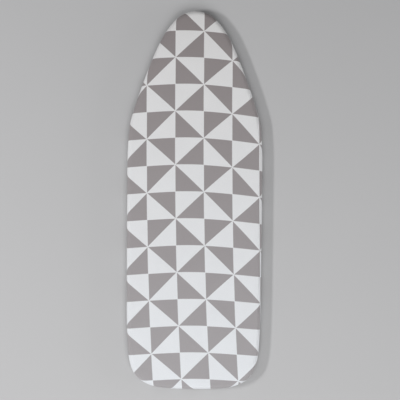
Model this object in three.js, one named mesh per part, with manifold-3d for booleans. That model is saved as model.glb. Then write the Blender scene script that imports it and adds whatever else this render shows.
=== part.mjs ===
// Fitted cover for an ironing board: printed cotton over foam and felt, drawn round the
// board by a cord in its hem, with a spring cord lock and two hook-and-loop straps below.
// It lies as it does on its board: printed face up, nose towards +Y, hem roll on z = 0.
// All lengths are in millimetres.

import * as THREE from 'three';
import { mergeVertices } from 'three/addons/utils/BufferGeometryUtils.js';
import Module from 'manifold-3d';

const wasm = await Module();
wasm.setup();

// Driving sizes of the fitted cover
const cover_length = 1229;
const cover_width = 438;
const top_edge_radius = 15;
const under_edge_radius = 9;
const cotton_thickness = 1;
const layer_gap = 0.3;

// The board that the cover is made for, and the pad between them
const board_thickness = 18;
const felt_thickness = 4;
const foam_thickness = 3;

// Outline from the middle of the heel to the tip of the nose, as shares of the length
// and of half the width
const outline_shares = [
  [0, 0], [0.0014, 0.36], [0.0068, 0.585], [0.0211, 0.765], [0.0449, 0.89], [0.082, 0.954],
  [0.156, 0.985], [0.34, 0.997], [0.499, 1], [0.631, 0.997], [0.699, 0.966], [0.747, 0.895],
  [0.831, 0.732], [0.8945, 0.589], [0.937, 0.47], [0.968, 0.345], [0.9895, 0.213], [1, 0],
];
const outline_steps = 2;
const top_edge_steps = 4;
const under_edge_steps = 2;
const pad_edge_steps = 2;

// The lower rounding takes at most this share of the side's height
const under_round_limit_share = 0.4;

// Hem: how far the cotton turns in under the board, and the casing sewn along it
const side_return = 45;
const end_return = 65;
const hem_lap = 3;
const casing_width = 10;
const casing_height = 7;
const casing_wall = 1.2;
const casing_mouth = 72;
const casing_sides = 8;

// The casing is sewn in lengths of tape that meet end to end: two joins on each side are
// placed by these, and the third lies at the front strap
const heel_join_from_heel = 234.5;
const nose_join_from_nose = 212.5;
const casing_join_gap = 0.6;

// Drawcord, and the tails that leave the casing at the heel
const cord_diameter = 3;
const cord_sides = 8;
const cord_spacing = 0.4;
const tail_bend_radius = 12;
const tail_bend_steps = 4;
const tail_spread = 16;
const tail_spread_length = 22;
const tail_spread_steps = 6;
const tail_lead = 3;

// Moulded tips on the ends of the cord
const tip_length = 12;
const tip_diameter = 5.2;
const tip_bore_depth = 9;
const tip_round = 1.4;
const tip_clearance = 0.3;
const tip_floor_gap = 0.2;
const tip_segments = 24;

// Cord lock: the barrel lies across the two tails, the plunger slides in it
const barrel_depth = 13;
const barrel_height = 8.8;
const barrel_wall = 1.5;
const barrel_bevel = 0.7;
const barrel_rim = 2;
const lock_clearance = 0.3;
const lock_floor_gap = 0.2;
const lock_board_gap = 0.5;
const lock_hem_gap = 2;
const lock_travel = 20;
const plunger_travel = 3.5;
const plunger_web = 1.8;
const plunger_stop_gap = 0.4;
const head_length = 3.2;
const head_depth = 12.2;
const head_height = 8;
const head_bevel = 0.8;
const moulding_arc_steps = 10;
const cut_overrun = 2;

// Spring in the closed end of the barrel
const spring_length = 5.6;
const spring_diameter = 4.4;
const spring_wire = 0.5;
const spring_curls = 4;
const spring_curl_steps = 12;
const spring_sides = 8;

// Straps across the underside, sewn to the casing and closed with hook and loop tape
const strap_width = 25;
const strap_thickness = 1.2;
const strap_overlap = 90;
const strap_floor_gap = 1;
const tape_length = 70;
const tape_width = 20;
const tape_thickness = 1;
const front_strap_from_nose = 444.5;
const rear_strap_from_heel = 364.5;

// Blank label sewn into the casing
const label_length = 42;
const label_width = 26;
const label_thickness = 0.6;
const label_from_heel = 214.5;

// Heights worked out from the sizes above
const lock_z = lock_floor_gap + barrel_height / 2;
const pocket_floor = lock_floor_gap + barrel_height + lock_board_gap;
const underside_z = pocket_floor - cotton_thickness;
const felt_bottom = pocket_floor + board_thickness;
const felt_top = felt_bottom + felt_thickness;
const foam_bottom = felt_top + layer_gap;
const foam_top = foam_bottom + foam_thickness;
const ceiling_z = foam_top + layer_gap;
const top_z = ceiling_z + cotton_thickness;
const side_height = top_z - underside_z;
const under_round = Math.min(under_edge_radius, side_height * under_round_limit_share);
const top_round = Math.min(top_edge_radius, side_height - under_round);
const top_arc_z = top_z - top_round;
const under_arc_z = underside_z + under_round;
const casing_z = casing_height / 2;
const hem_under_z = casing_height + layer_gap;

// Places along the cover worked out from its ends
const front_strap_y = cover_length / 2 - front_strap_from_nose;
const rear_strap_y = rear_strap_from_heel - cover_length / 2;
const label_y = label_from_heel - cover_length / 2;
const heel_join_y = heel_join_from_heel - cover_length / 2;
const nose_join_y = cover_length / 2 - nose_join_from_nose;

// Closed curve of the outline, anticlockwise from the middle of the heel
function outlineCurve(halfWidth, halfLength) {
  const place = ([along, across]) => new THREE.Vector3(
    across * halfWidth, (2 * along - 1) * halfLength, 0);
  const right = outline_shares.map(place);
  const left = right.slice(1, -1).reverse().map((p) => new THREE.Vector3(-p.x, p.y, 0));
  return new THREE.CatmullRomCurve3([...right, ...left], true, 'centripetal');
}

// Point of a curve, moved inwards square to it and set at a height
function insetPoint(curve, t, inset, z) {
  const point = curve.getPoint(t);
  const tangent = curve.getTangent(t);
  return new THREE.Vector3(point.x - tangent.y * inset, point.y + tangent.x * inset, z);
}

const edge_curve = outlineCurve(cover_width / 2, cover_length / 2);
const hem_curve = outlineCurve(cover_width / 2 - side_return, cover_length / 2 - end_return);
const station_count = edge_curve.points.length * outline_steps;

function ring(curve, inset, z) {
  return Array.from({ length: station_count }, (_, i) => (
    insetPoint(curve, i / station_count, inset, z)));
}

// Triangles that fill a convex ring, laid as rungs across it
function fillRing(first, count, indices) {
  for (let i = 0; i < count - i - 1; i += 1) {
    const near = [first + i, first + i + 1];
    const far = [first + count - i, first + count - i - 1];
    if (near[1] < far[1]) indices.push(near[0], near[1], far[1]);
    if (i > 0) indices.push(near[0], far[1], far[0]);
  }
}

// Skin over a row of rings: round and back to the first ring, or filled at both ends
function loft(rings, returns) {
  const count = rings[0].length;
  const positions = rings.flat().flatMap((p) => [p.x, p.y, p.z]);
  const indices = [];
  const bands = returns ? rings.length : rings.length - 1;
  for (let r = 0; r < bands; r += 1) {
    const low = r * count;
    const high = ((r + 1) % rings.length) * count;
    for (let i = 0; i < count; i += 1) {
      const j = (i + 1) % count;
      indices.push(low + i, low + j, high + j);
      indices.push(low + i, high + j, high + i);
    }
  }
  if (!returns) {
    const start = [];
    fillRing(0, count, start);
    indices.push(...start.reverse());
    fillRing((rings.length - 1) * count, count, indices);
  }
  const geometry = new THREE.BufferGeometry();
  geometry.setAttribute('position', new THREE.Float32BufferAttribute(positions, 3));
  geometry.setIndex(indices);
  return geometry;
}

// Volume inside a skin, below zero when its faces look inwards
function signedVolume(geometry) {
  const position = geometry.attributes.position;
  const index = geometry.index.array;
  const corners = [new THREE.Vector3(), new THREE.Vector3(), new THREE.Vector3()];
  let sum = 0;
  for (let i = 0; i < index.length; i += 3) {
    corners.forEach((corner, k) => corner.fromBufferAttribute(position, index[i + k]));
    sum += corners[0].dot(corners[1].clone().cross(corners[2])) / 6;
  }
  return sum;
}

// Skin with shared corners merged and its faces looking out
function closed(source) {
  const bare = source.clone();
  bare.deleteAttribute('normal');
  bare.deleteAttribute('uv');
  const geometry = mergeVertices(bare);
  if (signedVolume(geometry) < 0) geometry.setIndex(Array.from(geometry.index.array).reverse());
  geometry.computeVertexNormals();
  return geometry;
}

function solid(source) {
  const geometry = closed(source);
  return new wasm.Manifold(new wasm.Mesh({
    numProp: 3,
    vertProperties: new Float32Array(geometry.attributes.position.array),
    triVerts: new Uint32Array(geometry.index.array),
  }));
}

function skin(manifold) {
  const mesh = manifold.getMesh();
  const geometry = new THREE.BufferGeometry();
  geometry.setAttribute('position', new THREE.Float32BufferAttribute(mesh.vertProperties, 3));
  geometry.setIndex(Array.from(mesh.triVerts));
  return geometry;
}

function part(name, geometry, finish) {
  const mesh = new THREE.Mesh(closed(geometry), new THREE.MeshStandardMaterial(finish));
  mesh.name = name;
  return mesh;
}

// Finishes
const printed_cotton = { color: 0xb9b4b3, roughness: 0.9, metalness: 0 };
const foam = { color: 0xe8e2d2, roughness: 0.95, metalness: 0 };
const felt = { color: 0x9b9a97, roughness: 1, metalness: 0 };
const cotton_tape = { color: 0xd9d8d4, roughness: 0.9, metalness: 0 };
const braided_cord = { color: 0xe4e3df, roughness: 0.85, metalness: 0 };
const grey_plastic = { color: 0x6f7072, roughness: 0.45, metalness: 0 };
const pale_plastic = { color: 0xd5d5d2, roughness: 0.4, metalness: 0 };
const spring_steel = { color: 0xb4b6b8, roughness: 0.3, metalness: 1 };
const elastic = { color: 0xdcdad5, roughness: 0.85, metalness: 0 };
const hook_nylon = { color: 0xc9c8c4, roughness: 0.7, metalness: 0 };
const loop_nylon = { color: 0xcfcdc8, roughness: 1, metalness: 0 };
const satin = { color: 0xeceae6, roughness: 0.5, metalness: 0 };

// Cotton shell: from the top panel out over the edge, round below the board to the hem,
// and back along the inside
function printedCover() {
  const rings = [];
  const arc = (radius, centre_z, side, from, to, steps) => {
    for (let i = 0; i <= steps; i += 1) {
      const angle = THREE.MathUtils.lerp(from, to, i / steps);
      const inset = side + radius * (1 - Math.cos(angle));
      rings.push(ring(edge_curve, inset, centre_z + radius * Math.sin(angle)));
    }
  };
  const quarter = Math.PI / 2;
  arc(top_round, top_arc_z, 0, quarter, 0, top_edge_steps);
  arc(under_round, under_arc_z, 0, 0, -quarter, under_edge_steps);
  rings.push(ring(hem_curve, hem_lap, hem_under_z));
  rings.push(ring(hem_curve, hem_lap, hem_under_z + cotton_thickness));
  arc(under_round - cotton_thickness, under_arc_z, cotton_thickness, -quarter, 0, under_edge_steps);
  arc(top_round - cotton_thickness, top_arc_z, cotton_thickness, 0, quarter, top_edge_steps);
  return part('printed_cover', loft(rings, false), printed_cotton);
}

// Pad layer between two heights, its edge following the rounding of the cotton above it
function padLayer(name, low, high, finish) {
  const side = cotton_thickness + layer_gap;
  const radius = top_round - side;
  const angleAt = (z) => Math.asin(THREE.MathUtils.clamp((z - top_arc_z) / radius, 0, 1));
  const rings = [];
  for (let i = 0; i <= pad_edge_steps; i += 1) {
    const z = THREE.MathUtils.lerp(low, high, i / pad_edge_steps);
    rings.push(ring(edge_curve, side + radius * (1 - Math.cos(angleAt(z))), z));
  }
  return part(name, loft(rings, false), finish);
}

// Curve parameter on the right half of the hem, heel to nose, up to which its points pass
// a test: halved down to the place
const nose_parameter = 1 / 2;
const halvings = 40;

function hemParameter(isBefore) {
  let low = 0;
  let high = nose_parameter;
  for (let i = 0; i < halvings; i += 1) {
    const middle = (low + high) / 2;
    if (isBefore(hem_curve.getPoint(middle))) low = middle;
    else high = middle;
  }
  return low;
}

// Centre line of the casing between two curve parameters
function casingLine(from, to) {
  const steps = Math.ceil(station_count * (to - from));
  return Array.from({ length: steps + 1 }, (_, i) => (
    insetPoint(hem_curve, THREE.MathUtils.lerp(from, to, i / steps), 0, casing_z)));
}

// The whole line, from the right of the mouth round to the left
const mouth_parameter = hemParameter((p) => p.y < 0 && p.x < casing_mouth / 2);
const casing_line = casingLine(mouth_parameter, 1 - mouth_parameter);

// Oval rings that stand upright along a line of points, with a flat side down
function uprightRings(line, width, height, sides) {
  const corner = 1 / Math.cos(Math.PI / sides);
  return line.map((centre, i) => {
    const ahead = line[Math.min(i + 1, line.length - 1)];
    const behind = line[Math.max(i - 1, 0)];
    const course = new THREE.Vector3(ahead.x - behind.x, ahead.y - behind.y, 0).normalize();
    return Array.from({ length: sides }, (_, k) => {
      const angle = (2 * Math.PI * (k + 1 / 2)) / sides;
      const out = (width / 2) * corner * Math.cos(angle);
      const up = (height / 2) * corner * Math.sin(angle);
      return new THREE.Vector3(centre.x + course.y * out, centre.y - course.x * out, centre.z + up);
    });
  });
}

// One length of the casing: a channel of tape, open at both ends for the cord
function casingLength(name, from, to) {
  const line = casingLine(from, to);
  const outer = uprightRings(line, casing_width, casing_height, casing_sides);
  const inner = uprightRings(line, casing_width - 2 * casing_wall,
    casing_height - 2 * casing_wall, casing_sides);
  return part(name, loft([...outer, ...inner.reverse()], true), cotton_tape);
}

// Casing: three lengths on each side, and one round the nose
function hemCasing() {
  const before = (y) => hemParameter((p) => p.y < y - casing_join_gap / 2);
  const after = (y) => hemParameter((p) => p.y < y + casing_join_gap / 2);
  const lengths = [
    ['heel', mouth_parameter, before(heel_join_y)],
    ['side', after(heel_join_y), before(front_strap_y)],
    ['shoulder', after(front_strap_y), before(nose_join_y)],
  ];
  const casing = new THREE.Group();
  lengths.forEach(([place, from, to]) => {
    casing.add(casingLength(`casing_${place}_right`, from, to));
    casing.add(casingLength(`casing_${place}_left`, 1 - to, 1 - from));
  });
  casing.add(casingLength('casing_nose', after(nose_join_y), 1 - after(nose_join_y)));
  return casing;
}

// Places along the tails, from the hem towards the nose
const mouth_point = casing_line[0];
const tail_x = (cord_diameter + cord_spacing) / 2;
const straight_start_y = mouth_point.y + tail_bend_radius;
const lock_y = straight_start_y + lock_hem_gap + barrel_depth / 2;
const straight_end_y = lock_y + lock_travel + barrel_depth / 2 + tail_lead;
const tip_x = tail_spread / 2;
const tip_y = straight_end_y + tail_spread_length;
const tip_z = tip_floor_gap + tip_diameter / 2;
const cord_end_y = tip_y + tip_bore_depth - tip_clearance;

// Right tail, from the casing round its bend, through the lock and out to its tip
function tailLine() {
  const line = [];
  const bend_x = tail_x + tail_bend_radius;
  for (let i = 0; i <= tail_bend_steps; i += 1) {
    const angle = (Math.PI / 2) * (i / tail_bend_steps);
    line.push(new THREE.Vector3(
      bend_x - tail_bend_radius * Math.sin(angle),
      straight_start_y - tail_bend_radius * Math.cos(angle),
      THREE.MathUtils.lerp(casing_z, lock_z, (1 - Math.cos(angle)) / 2 + i / tail_bend_steps / 2),
    ));
  }
  for (let i = 0; i <= tail_spread_steps; i += 1) {
    const along = i / tail_spread_steps;
    const eased = THREE.MathUtils.smoothstep(along, 0, 1);
    line.push(new THREE.Vector3(
      THREE.MathUtils.lerp(tail_x, tip_x, eased),
      THREE.MathUtils.lerp(straight_end_y, tip_y, along),
      THREE.MathUtils.lerp(lock_z, tip_z, eased),
    ));
  }
  line.push(new THREE.Vector3(tip_x, cord_end_y, tip_z));
  return line;
}

// Drawcord: one cord from tip to tip, inside the casing all the way round
function drawcord() {
  const right = tailLine();
  const left = right.map((p) => new THREE.Vector3(-p.x, p.y, p.z));
  const line = [...right.reverse(), ...casing_line, ...left];
  const rings = uprightRings(line, cord_diameter, cord_diameter, cord_sides);
  return part('drawcord', loft(rings, false), braided_cord);
}

// Cup that closes one end of the cord, its mouth facing the lock
function cordTip(name, side) {
  const radius = tip_diameter / 2;
  const bore = cord_diameter / 2 + tip_clearance;
  const profile = [new THREE.Vector2(0, tip_length), new THREE.Vector2(radius - tip_round, tip_length),
    new THREE.Vector2(radius, tip_length - tip_round), new THREE.Vector2(radius, 0),
    new THREE.Vector2(bore, 0), new THREE.Vector2(bore, tip_bore_depth),
    new THREE.Vector2(0, tip_bore_depth)];
  const tip = part(name, new THREE.LatheGeometry(profile, tip_segments), pale_plastic);
  tip.position.set(side * tip_x, tip_y, tip_z);
  return tip;
}

// Outline with straight sides and round ends, its length across the page
function roundEnded(length, height) {
  const radius = height / 2;
  const reach = length / 2 - radius;
  const shape = new THREE.Shape();
  shape.absarc(reach, 0, radius, -Math.PI / 2, Math.PI / 2, false);
  shape.absarc(-reach, 0, radius, Math.PI / 2, (3 * Math.PI) / 2, false);
  return shape;
}

const axis_x = new THREE.Vector3(1, 0, 0);
const axis_y = new THREE.Vector3(0, 1, 0);
const axis_z = new THREE.Vector3(0, 0, 1);

// Round-ended bar along X between two places, with softened ends
function bar(depth, height, from, to, bevel) {
  const geometry = new THREE.ExtrudeGeometry(roundEnded(depth, height), {
    depth: to - from - 2 * bevel,
    bevelEnabled: bevel > 0,
    bevelSize: bevel,
    bevelThickness: bevel,
    bevelOffset: -bevel,
    bevelSegments: 2,
    curveSegments: moulding_arc_steps,
  });
  geometry.translate(0, 0, from + bevel);
  geometry.applyMatrix4(new THREE.Matrix4().makeBasis(axis_y, axis_z, axis_x));
  return geometry;
}

// Round-ended cut through the lock along Y, between two places across it
function crossCut(from, to, height) {
  const depth = barrel_depth + 2 * cut_overrun;
  const geometry = new THREE.ExtrudeGeometry(roundEnded(to - from, height), {
    depth,
    bevelEnabled: false,
    curveSegments: moulding_arc_steps,
  });
  geometry.translate(0, 0, -depth / 2);
  geometry.applyMatrix4(new THREE.Matrix4().makeBasis(axis_x, axis_z, axis_y.clone().negate()));
  geometry.translate((from + to) / 2, 0, 0);
  return geometry;
}

// Places along the lock, from the closed end of the barrel to the head of the plunger
const eye_half = tail_x + cord_diameter / 2 + lock_clearance;
const eye_height = cord_diameter + 2 * lock_clearance;
const plunger_foot = -eye_half - plunger_web;
const spring_end = plunger_foot - lock_clearance;
const spring_start = spring_end - spring_length;
const cavity_start = spring_start - lock_clearance;
const barrel_start = cavity_start - barrel_wall;
const barrel_end = eye_half + plunger_travel + barrel_rim;
const head_start = barrel_end + plunger_travel + plunger_stop_gap;
const cavity_depth = barrel_depth - 2 * barrel_wall;
const cavity_height = barrel_height - 2 * barrel_wall;

function lockBarrel() {
  const outside = bar(barrel_depth, barrel_height, barrel_start, barrel_end, barrel_bevel);
  const cavity = bar(cavity_depth, cavity_height, cavity_start, barrel_end + cut_overrun, 0);
  const eye = crossCut(-eye_half, eye_half, eye_height);
  const cut = solid(outside).subtract(solid(cavity)).subtract(solid(eye));
  return part('cord_lock_barrel', skin(cut), grey_plastic);
}

function lockPlunger() {
  const depth = cavity_depth - 2 * lock_clearance;
  const height = cavity_height - 2 * lock_clearance;
  const stem = bar(depth, height, plunger_foot, head_start + head_bevel, 0);
  const head = bar(head_depth, head_height, head_start, head_start + head_length, head_bevel);
  const eye = crossCut(-eye_half, eye_half + plunger_travel, eye_height);
  const cut = solid(stem).add(solid(head)).subtract(solid(eye));
  return part('cord_lock_plunger', skin(cut), grey_plastic);
}

// Wire wound round the X axis: each ring of the wire stands along the radius there
function lockSpring() {
  const steps = spring_curls * spring_curl_steps;
  const coil_radius = (spring_diameter - spring_wire) / 2;
  const rings = [];
  for (let i = 0; i <= steps; i += 1) {
    const turn = (2 * Math.PI * i) / spring_curl_steps;
    const x = THREE.MathUtils.lerp(
      spring_start + spring_wire / 2, spring_end - spring_wire / 2, i / steps);
    rings.push(Array.from({ length: spring_sides }, (_, k) => {
      const angle = (2 * Math.PI * k) / spring_sides;
      const radius = coil_radius + (spring_wire / 2) * Math.cos(angle);
      return new THREE.Vector3(x + (spring_wire / 2) * Math.sin(angle),
        radius * Math.cos(turn), radius * Math.sin(turn));
    }));
  }
  return part('cord_lock_spring', loft(rings, false), spring_steel);
}

function cordLock() {
  const lock = new THREE.Group();
  lock.add(lockBarrel(), lockPlunger(), lockSpring());
  lock.position.set(0, lock_y, lock_z);
  return lock;
}

// Inner side of the casing at a place along the cover, less the gap that a sewn end keeps
function sewnReach(y, width) {
  const near = casing_line.filter((p, i) => {
    const after = casing_line[Math.min(i + 1, casing_line.length - 1)];
    const before = casing_line[Math.max(i - 1, 0)];
    return p.x > 0 && after.y > y - width && before.y < y + width;
  });
  const across = (place) => {
    const i = Math.max(1, near.findIndex((p) => p.y > place));
    const [a, b] = [near[i - 1], near[i]];
    return THREE.MathUtils.mapLinear(place, a.y, b.y, a.x, b.x);
  };
  const narrowest = Math.min(across(y - width / 2), across(y + width / 2));
  return narrowest - casing_width / 2 - layer_gap;
}

// Flat band across the cover, from one place to another, its middle at a height
function band(from, to, z, thickness, width, y) {
  const geometry = new THREE.BoxGeometry(Math.abs(to - from), width, thickness);
  geometry.translate((from + to) / 2, y, z);
  return geometry;
}

// Heights of the closed strap: elastic, hook tape, loop tape, elastic
const low_strap_z = strap_floor_gap + strap_thickness / 2;
const hook_z = low_strap_z + strap_thickness / 2 + layer_gap + tape_thickness / 2;
const loop_z = hook_z + tape_thickness + layer_gap;
const high_strap_z = loop_z + tape_thickness / 2 + layer_gap + strap_thickness / 2;

// One strap: its left half below, its right half above, with the tapes between them
function strap(place, y) {
  const reach = sewnReach(y, strap_width);
  const half = (side, z) => band(
    side * reach, -side * strap_overlap / 2, z, strap_thickness, strap_width, y);
  const tape = (z) => band(
    -tape_length / 2, tape_length / 2, z, tape_thickness, tape_width, y);
  const group = new THREE.Group();
  group.add(part(`${place}_strap_left`, half(-1, low_strap_z), elastic));
  group.add(part(`${place}_strap_hook_tape`, tape(hook_z), hook_nylon));
  group.add(part(`${place}_strap_loop_tape`, tape(loop_z), loop_nylon));
  group.add(part(`${place}_strap_right`, half(1, high_strap_z), elastic));
  return group;
}

function sewnLabel() {
  const reach = -sewnReach(label_y, label_width);
  const geometry = band(
    reach, reach + label_length, casing_z, label_thickness, label_width, label_y);
  return part('sewn_label_blank', geometry, satin);
}

const group = new THREE.Group();
group.add(printedCover());
group.add(padLayer('foam_layer', foam_bottom, foam_top, foam));
group.add(padLayer('felt_pad', felt_bottom, felt_top, felt));
group.add(hemCasing());
group.add(drawcord());
group.add(cordTip('cord_tip_right', 1));
group.add(cordTip('cord_tip_left', -1));
group.add(cordLock());
group.add(strap('front', front_strap_y));
group.add(strap('rear', rear_strap_y));
group.add(sewnLabel());

export default group;
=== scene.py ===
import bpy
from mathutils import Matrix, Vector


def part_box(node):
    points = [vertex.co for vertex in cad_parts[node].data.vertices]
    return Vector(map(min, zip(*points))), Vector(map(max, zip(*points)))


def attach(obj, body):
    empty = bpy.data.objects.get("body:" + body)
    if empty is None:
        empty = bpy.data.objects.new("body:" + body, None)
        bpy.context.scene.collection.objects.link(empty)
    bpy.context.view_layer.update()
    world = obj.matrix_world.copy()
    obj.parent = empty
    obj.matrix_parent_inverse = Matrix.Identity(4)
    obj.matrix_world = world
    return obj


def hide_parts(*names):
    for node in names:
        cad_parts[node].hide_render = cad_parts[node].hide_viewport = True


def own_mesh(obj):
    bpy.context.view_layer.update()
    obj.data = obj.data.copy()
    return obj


bl_info = {
    "name": "Ironing Board Cover",
    "version": (1, 0, 0),
    "blender": (4, 5, 0),
    "location": "3D View > Sidebar > Ironing Cover",
    "description": "Builds a fitted patchwork ironing board cover with pad, drawcord and straps",
    "category": "Add Mesh",
}

import bmesh
import bpy
import numpy as np
from mathutils import Matrix

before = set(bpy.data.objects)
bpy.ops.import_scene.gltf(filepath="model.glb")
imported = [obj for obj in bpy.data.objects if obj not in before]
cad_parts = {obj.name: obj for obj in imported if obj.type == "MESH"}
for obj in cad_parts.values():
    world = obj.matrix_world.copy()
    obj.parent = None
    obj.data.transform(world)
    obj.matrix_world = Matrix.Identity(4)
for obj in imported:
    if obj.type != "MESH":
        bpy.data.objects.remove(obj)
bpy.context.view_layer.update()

MM = 0.001
TAU = 2 * np.pi

# Outline from the middle of the heel to the tip of the nose, as shares of the length and
# of half the width
OUTLINE_SHARES = (
    (0, 0), (0.0014, 0.36), (0.0068, 0.585), (0.0211, 0.765), (0.0449, 0.89), (0.082, 0.954),
    (0.156, 0.985), (0.34, 0.997), (0.499, 1), (0.631, 0.997), (0.699, 0.966), (0.747, 0.895),
    (0.831, 0.732), (0.8945, 0.589), (0.937, 0.47), (0.968, 0.345), (0.9895, 0.213), (1, 0),
)

# Reach of the fitted cloth, from the frame
cloth_low, cloth_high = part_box("printed_cover")
HALF_WIDTH = cloth_high[0]
HALF_LENGTH = cloth_high[1]
TOP_Z = cloth_high[2]
HEM_Z = cloth_low[2]

# Roundings of the cloth and how far it turns in under the board
TOP_ROUND = 15 * MM
TOP_ARC_Z = 21.1 * MM
UNDER_ROUND = 9 * MM
UNDER_ARC_Z = 17.5 * MM
UNDERSIDE_Z = 8.5 * MM
HEM_LAP = 3 * MM
SIDE_RETURN = 45 * MM
END_RETURN = 65 * MM

# Stations round the cloth: their number, how much closer they lie at both ends, and where
# they start to crowd, from the middle of their even stretch
CLOTH_STATIONS = 900
CLOTH_CROWDING = 2.2
EVEN_MIDDLE = -30 * MM
EVEN_REACH = 300 * MM
CROWDED_REACH = 450 * MM

# Rows of the cloth: how far inside its rounding those of the face lie and over what length
# the gathers' pull on them fades, then how many there are on the roundings and on what is
# turned in, and the rings that fill the face
FACE_ROWS = np.array((36, 25, 16, 9, 4)) * MM
PULL_FADE = 12 * MM
TOP_ROWS = 10
UNDER_ROWS = 6
TURNED_ROWS = 15
FACE_RINGS = 11

# Pads: their stations and rings, how far inside the cloth their edge and its rounding lie,
# the rounding of their own corners, and the waves of their edge, which lean with the height
PAD_STATIONS = 400
PAD_CROWDING = 1
PAD_RINGS = 16
PAD_INSET = 1.5 * MM
PAD_ROUND = TOP_ROUND - 1.3 * MM
PAD_LIP = 0.8 * MM
PAD_WAVES = 210
PAD_WAVE_LEAN = 3 / MM

# Slow waves of the padded face: their share of the depth, angle for each metre across and
# along, and angle at the start
FACE_WAVES = ((1, 31, 9, 0.4), (1, -12, 17, 2.1), (0.6, 7, 43, 1.2), (0.5, 58, -21, 0))

# Parameters of the tables that turn the outline's parameter to a length or a place: all
# round, on the right half, on its long side and at the heel
FINE_TURN = np.linspace(0, 1, 12001)
HALF_TURN = np.linspace(0, 0.5, 6001)
SIDE_TURN = np.linspace(0.01, 0.5, 20001)
HEEL_TURN = np.linspace(0, 0.05, 5001)

# Fullness of the gathered cloth: where along the cover it starts and is whole at the nose, at
# the heel corners and at the heel, the same across it at the corners, and its shares at the
# heel and where it is least
NOSE_FULL = (120 * MM, 500 * MM)
CORNER_FULL = (380 * MM, 500 * MM)
CORNER_ACROSS = (30 * MM, 120 * MM)
HEEL_FULL = (500 * MM, 540 * MM)
HEEL_SHARE = 0.45
LEAST_FULL = 0.16

# What stays of the gathers' sway, the hem's rise, the rim's tuck and the casing's wrinkles
# where nothing is gathered
LEAST_SWAY = 0.2
LEAST_RISE = 0.4
LEAST_TUCK = 0.25
LEAST_WRINKLE = 0.45

# How the gathers sway: the reach of each sine, its turns round the hem and its start
GATHER_SWAY = ((2.3, 7, 0.5), (1.7, 23, 2), (0.9, 61, 1.1))
RIDGE_POWER = 1.4
CRIMPS_TO_A_GATHER = 1.7
CRIMP_SWAY = 2.6
CRIMP_SWAYS = 19

# Gathers: their spacing and depth, how far from the hem's end the casing's outer side and
# the edge of its seam allowance lie, and how deep folds run up the side and over the rim
GATHER_CLOSE = 11.5 * MM
GATHER_FREE = 34 * MM
GATHER_DEPTH = 4.2 * MM
GATHER_FADE = 5 * MM
CRIMP_DEPTH = 1.1 * MM
HEM_RISE = 0.9 * MM
CASING_SIDE = 8 * MM
TAPE_EDGE = 14.4 * MM
SIDE_CREASE = 1.1 * MM
RIM_TUCK = 0.2 * MM

# Hem casing: its section, half of its mouth at the heel, its steps along, the radius at which
# its tape is measured flat, the hem's length, and its seam allowance with the stitches and the
# gap to the cloth
CASING_Z = 3.5 * MM
CASING_HALF_WIDTH = 5 * MM
CASING_HALF_HEIGHT = 3.5 * MM
CASING_MOUTH = 36 * MM
CASING_BORE = (3.8 * MM, 2.2 * MM)
CASING_SIDES = 20
CASING_POWER = 0.8
CASING_STEP = 1.2 * MM
BORE_STEP = 7 * MM
TAPE_ROUND = 4 * MM
HEM_LENGTH = 2.66
ALLOWANCE_START = 7.4 * MM
ALLOWANCE_STEP = 1.7 * MM
ALLOWANCE_ROWS = 5
HEM_STITCH_LINE = 11.6 * MM
HEM_STITCH_END = 4 * MM
HEM_STITCH_STAND = 0.3
TAPE_THICKNESS = 0.4 * MM
LAYER_GAP = 0.3 * MM

# Wrinkles of the casing: depth as a share, length, slant round the tube with its turns and
# its start, and sway with its angle for each metre along
CASING_WRINKLES = ((0.14, 6.5 * MM, 1.3, 1, 0.7, 2, 61), (0.06, 4.1 * MM, -1.1, 2, 0, 1, 97))

# Straps: how far from the middle they keep their place, the length and height of their slow
# wave, their ribs, and the gap and tacks of the seam at their ends
STRAP_FIXED = 100 * MM
STRAP_WAVE = 90 * MM
STRAP_WAVE_HEIGHT = 0.08 * MM
STRAP_RIBS = 20
SEAM_GAP = 0.25 * MM
TACK_PITCH = 1.3 * MM
TACK_LENGTH = 3.4 * MM
TACK_LEAN = 0.32
TACK_SHIFT = 0.3 * MM

# Woven bands: the steps along them, the points across, the depth of their ribs as a share,
# and the scallops of their edges as a share and in length
BAND_STEP = 1.6 * MM
BAND_POINTS = 61
BAND_RIB_DEPTH = 0.08
SCALLOP_DEPTH = 0.006
SCALLOP_LENGTH = 2.4 * MM

# Hook and loop tapes: their woven ground, and the spacing, root, steps, sides and wire radius
# of what stands on it, its margins across and along, and the height and reach of each kind
GROUND_THICKNESS = 0.45 * MM
GROUND_RIBS = 12
HOOK_PITCH = 1.5 * MM
LOOP_PITCH = 1.3 * MM
PILE_ROOT = 0.4 * MM
PILE_STEPS = 7
PILE_SIDES = 4
PILE_WIRE = 0.07 * MM
PILE_START = (1.5 * MM, 1.6 * MM)
PILE_END = (1.2 * MM, 1.4 * MM)
HOOK_STEM = 0.4
HOOK_HEIGHT = 0.56 * MM
HOOK_REACH = 0.28 * MM
LOOP_HEIGHTS = (0.38 * MM, 0.54 * MM)
LOOP_REACH = 0.3 * MM

# Strap stitching: how far the boxes lie inside the tapes, the two rows of a strap inside its
# end, and how far a thread's middle stands off the face
BOX_INSET = 1.6 * MM
STRAP_ROWS = (2.2 * MM, 5.4 * MM)
ROW_INSET = 1.8 * MM
LABEL_ROW = 2 * MM
LABEL_ROW_INSET = 1.4 * MM
THREAD_STAND = 0.05 * MM

# Label: half of its width and of its thickness, its mesh, where along it the fold starts,
# how deep it droops and cups, and the angle of its ripples for each metre across
LABEL_HALF_WIDTH = 13 * MM
LABEL_PLY = 0.27 * MM
LABEL_STEPS = 64
LABEL_COLUMNS = 40
LABEL_FOLD = 0.97
LABEL_DROOP = 1.5 * MM
LABEL_CUP = 0.35 * MM
LABEL_RIPPLE = 90

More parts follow.
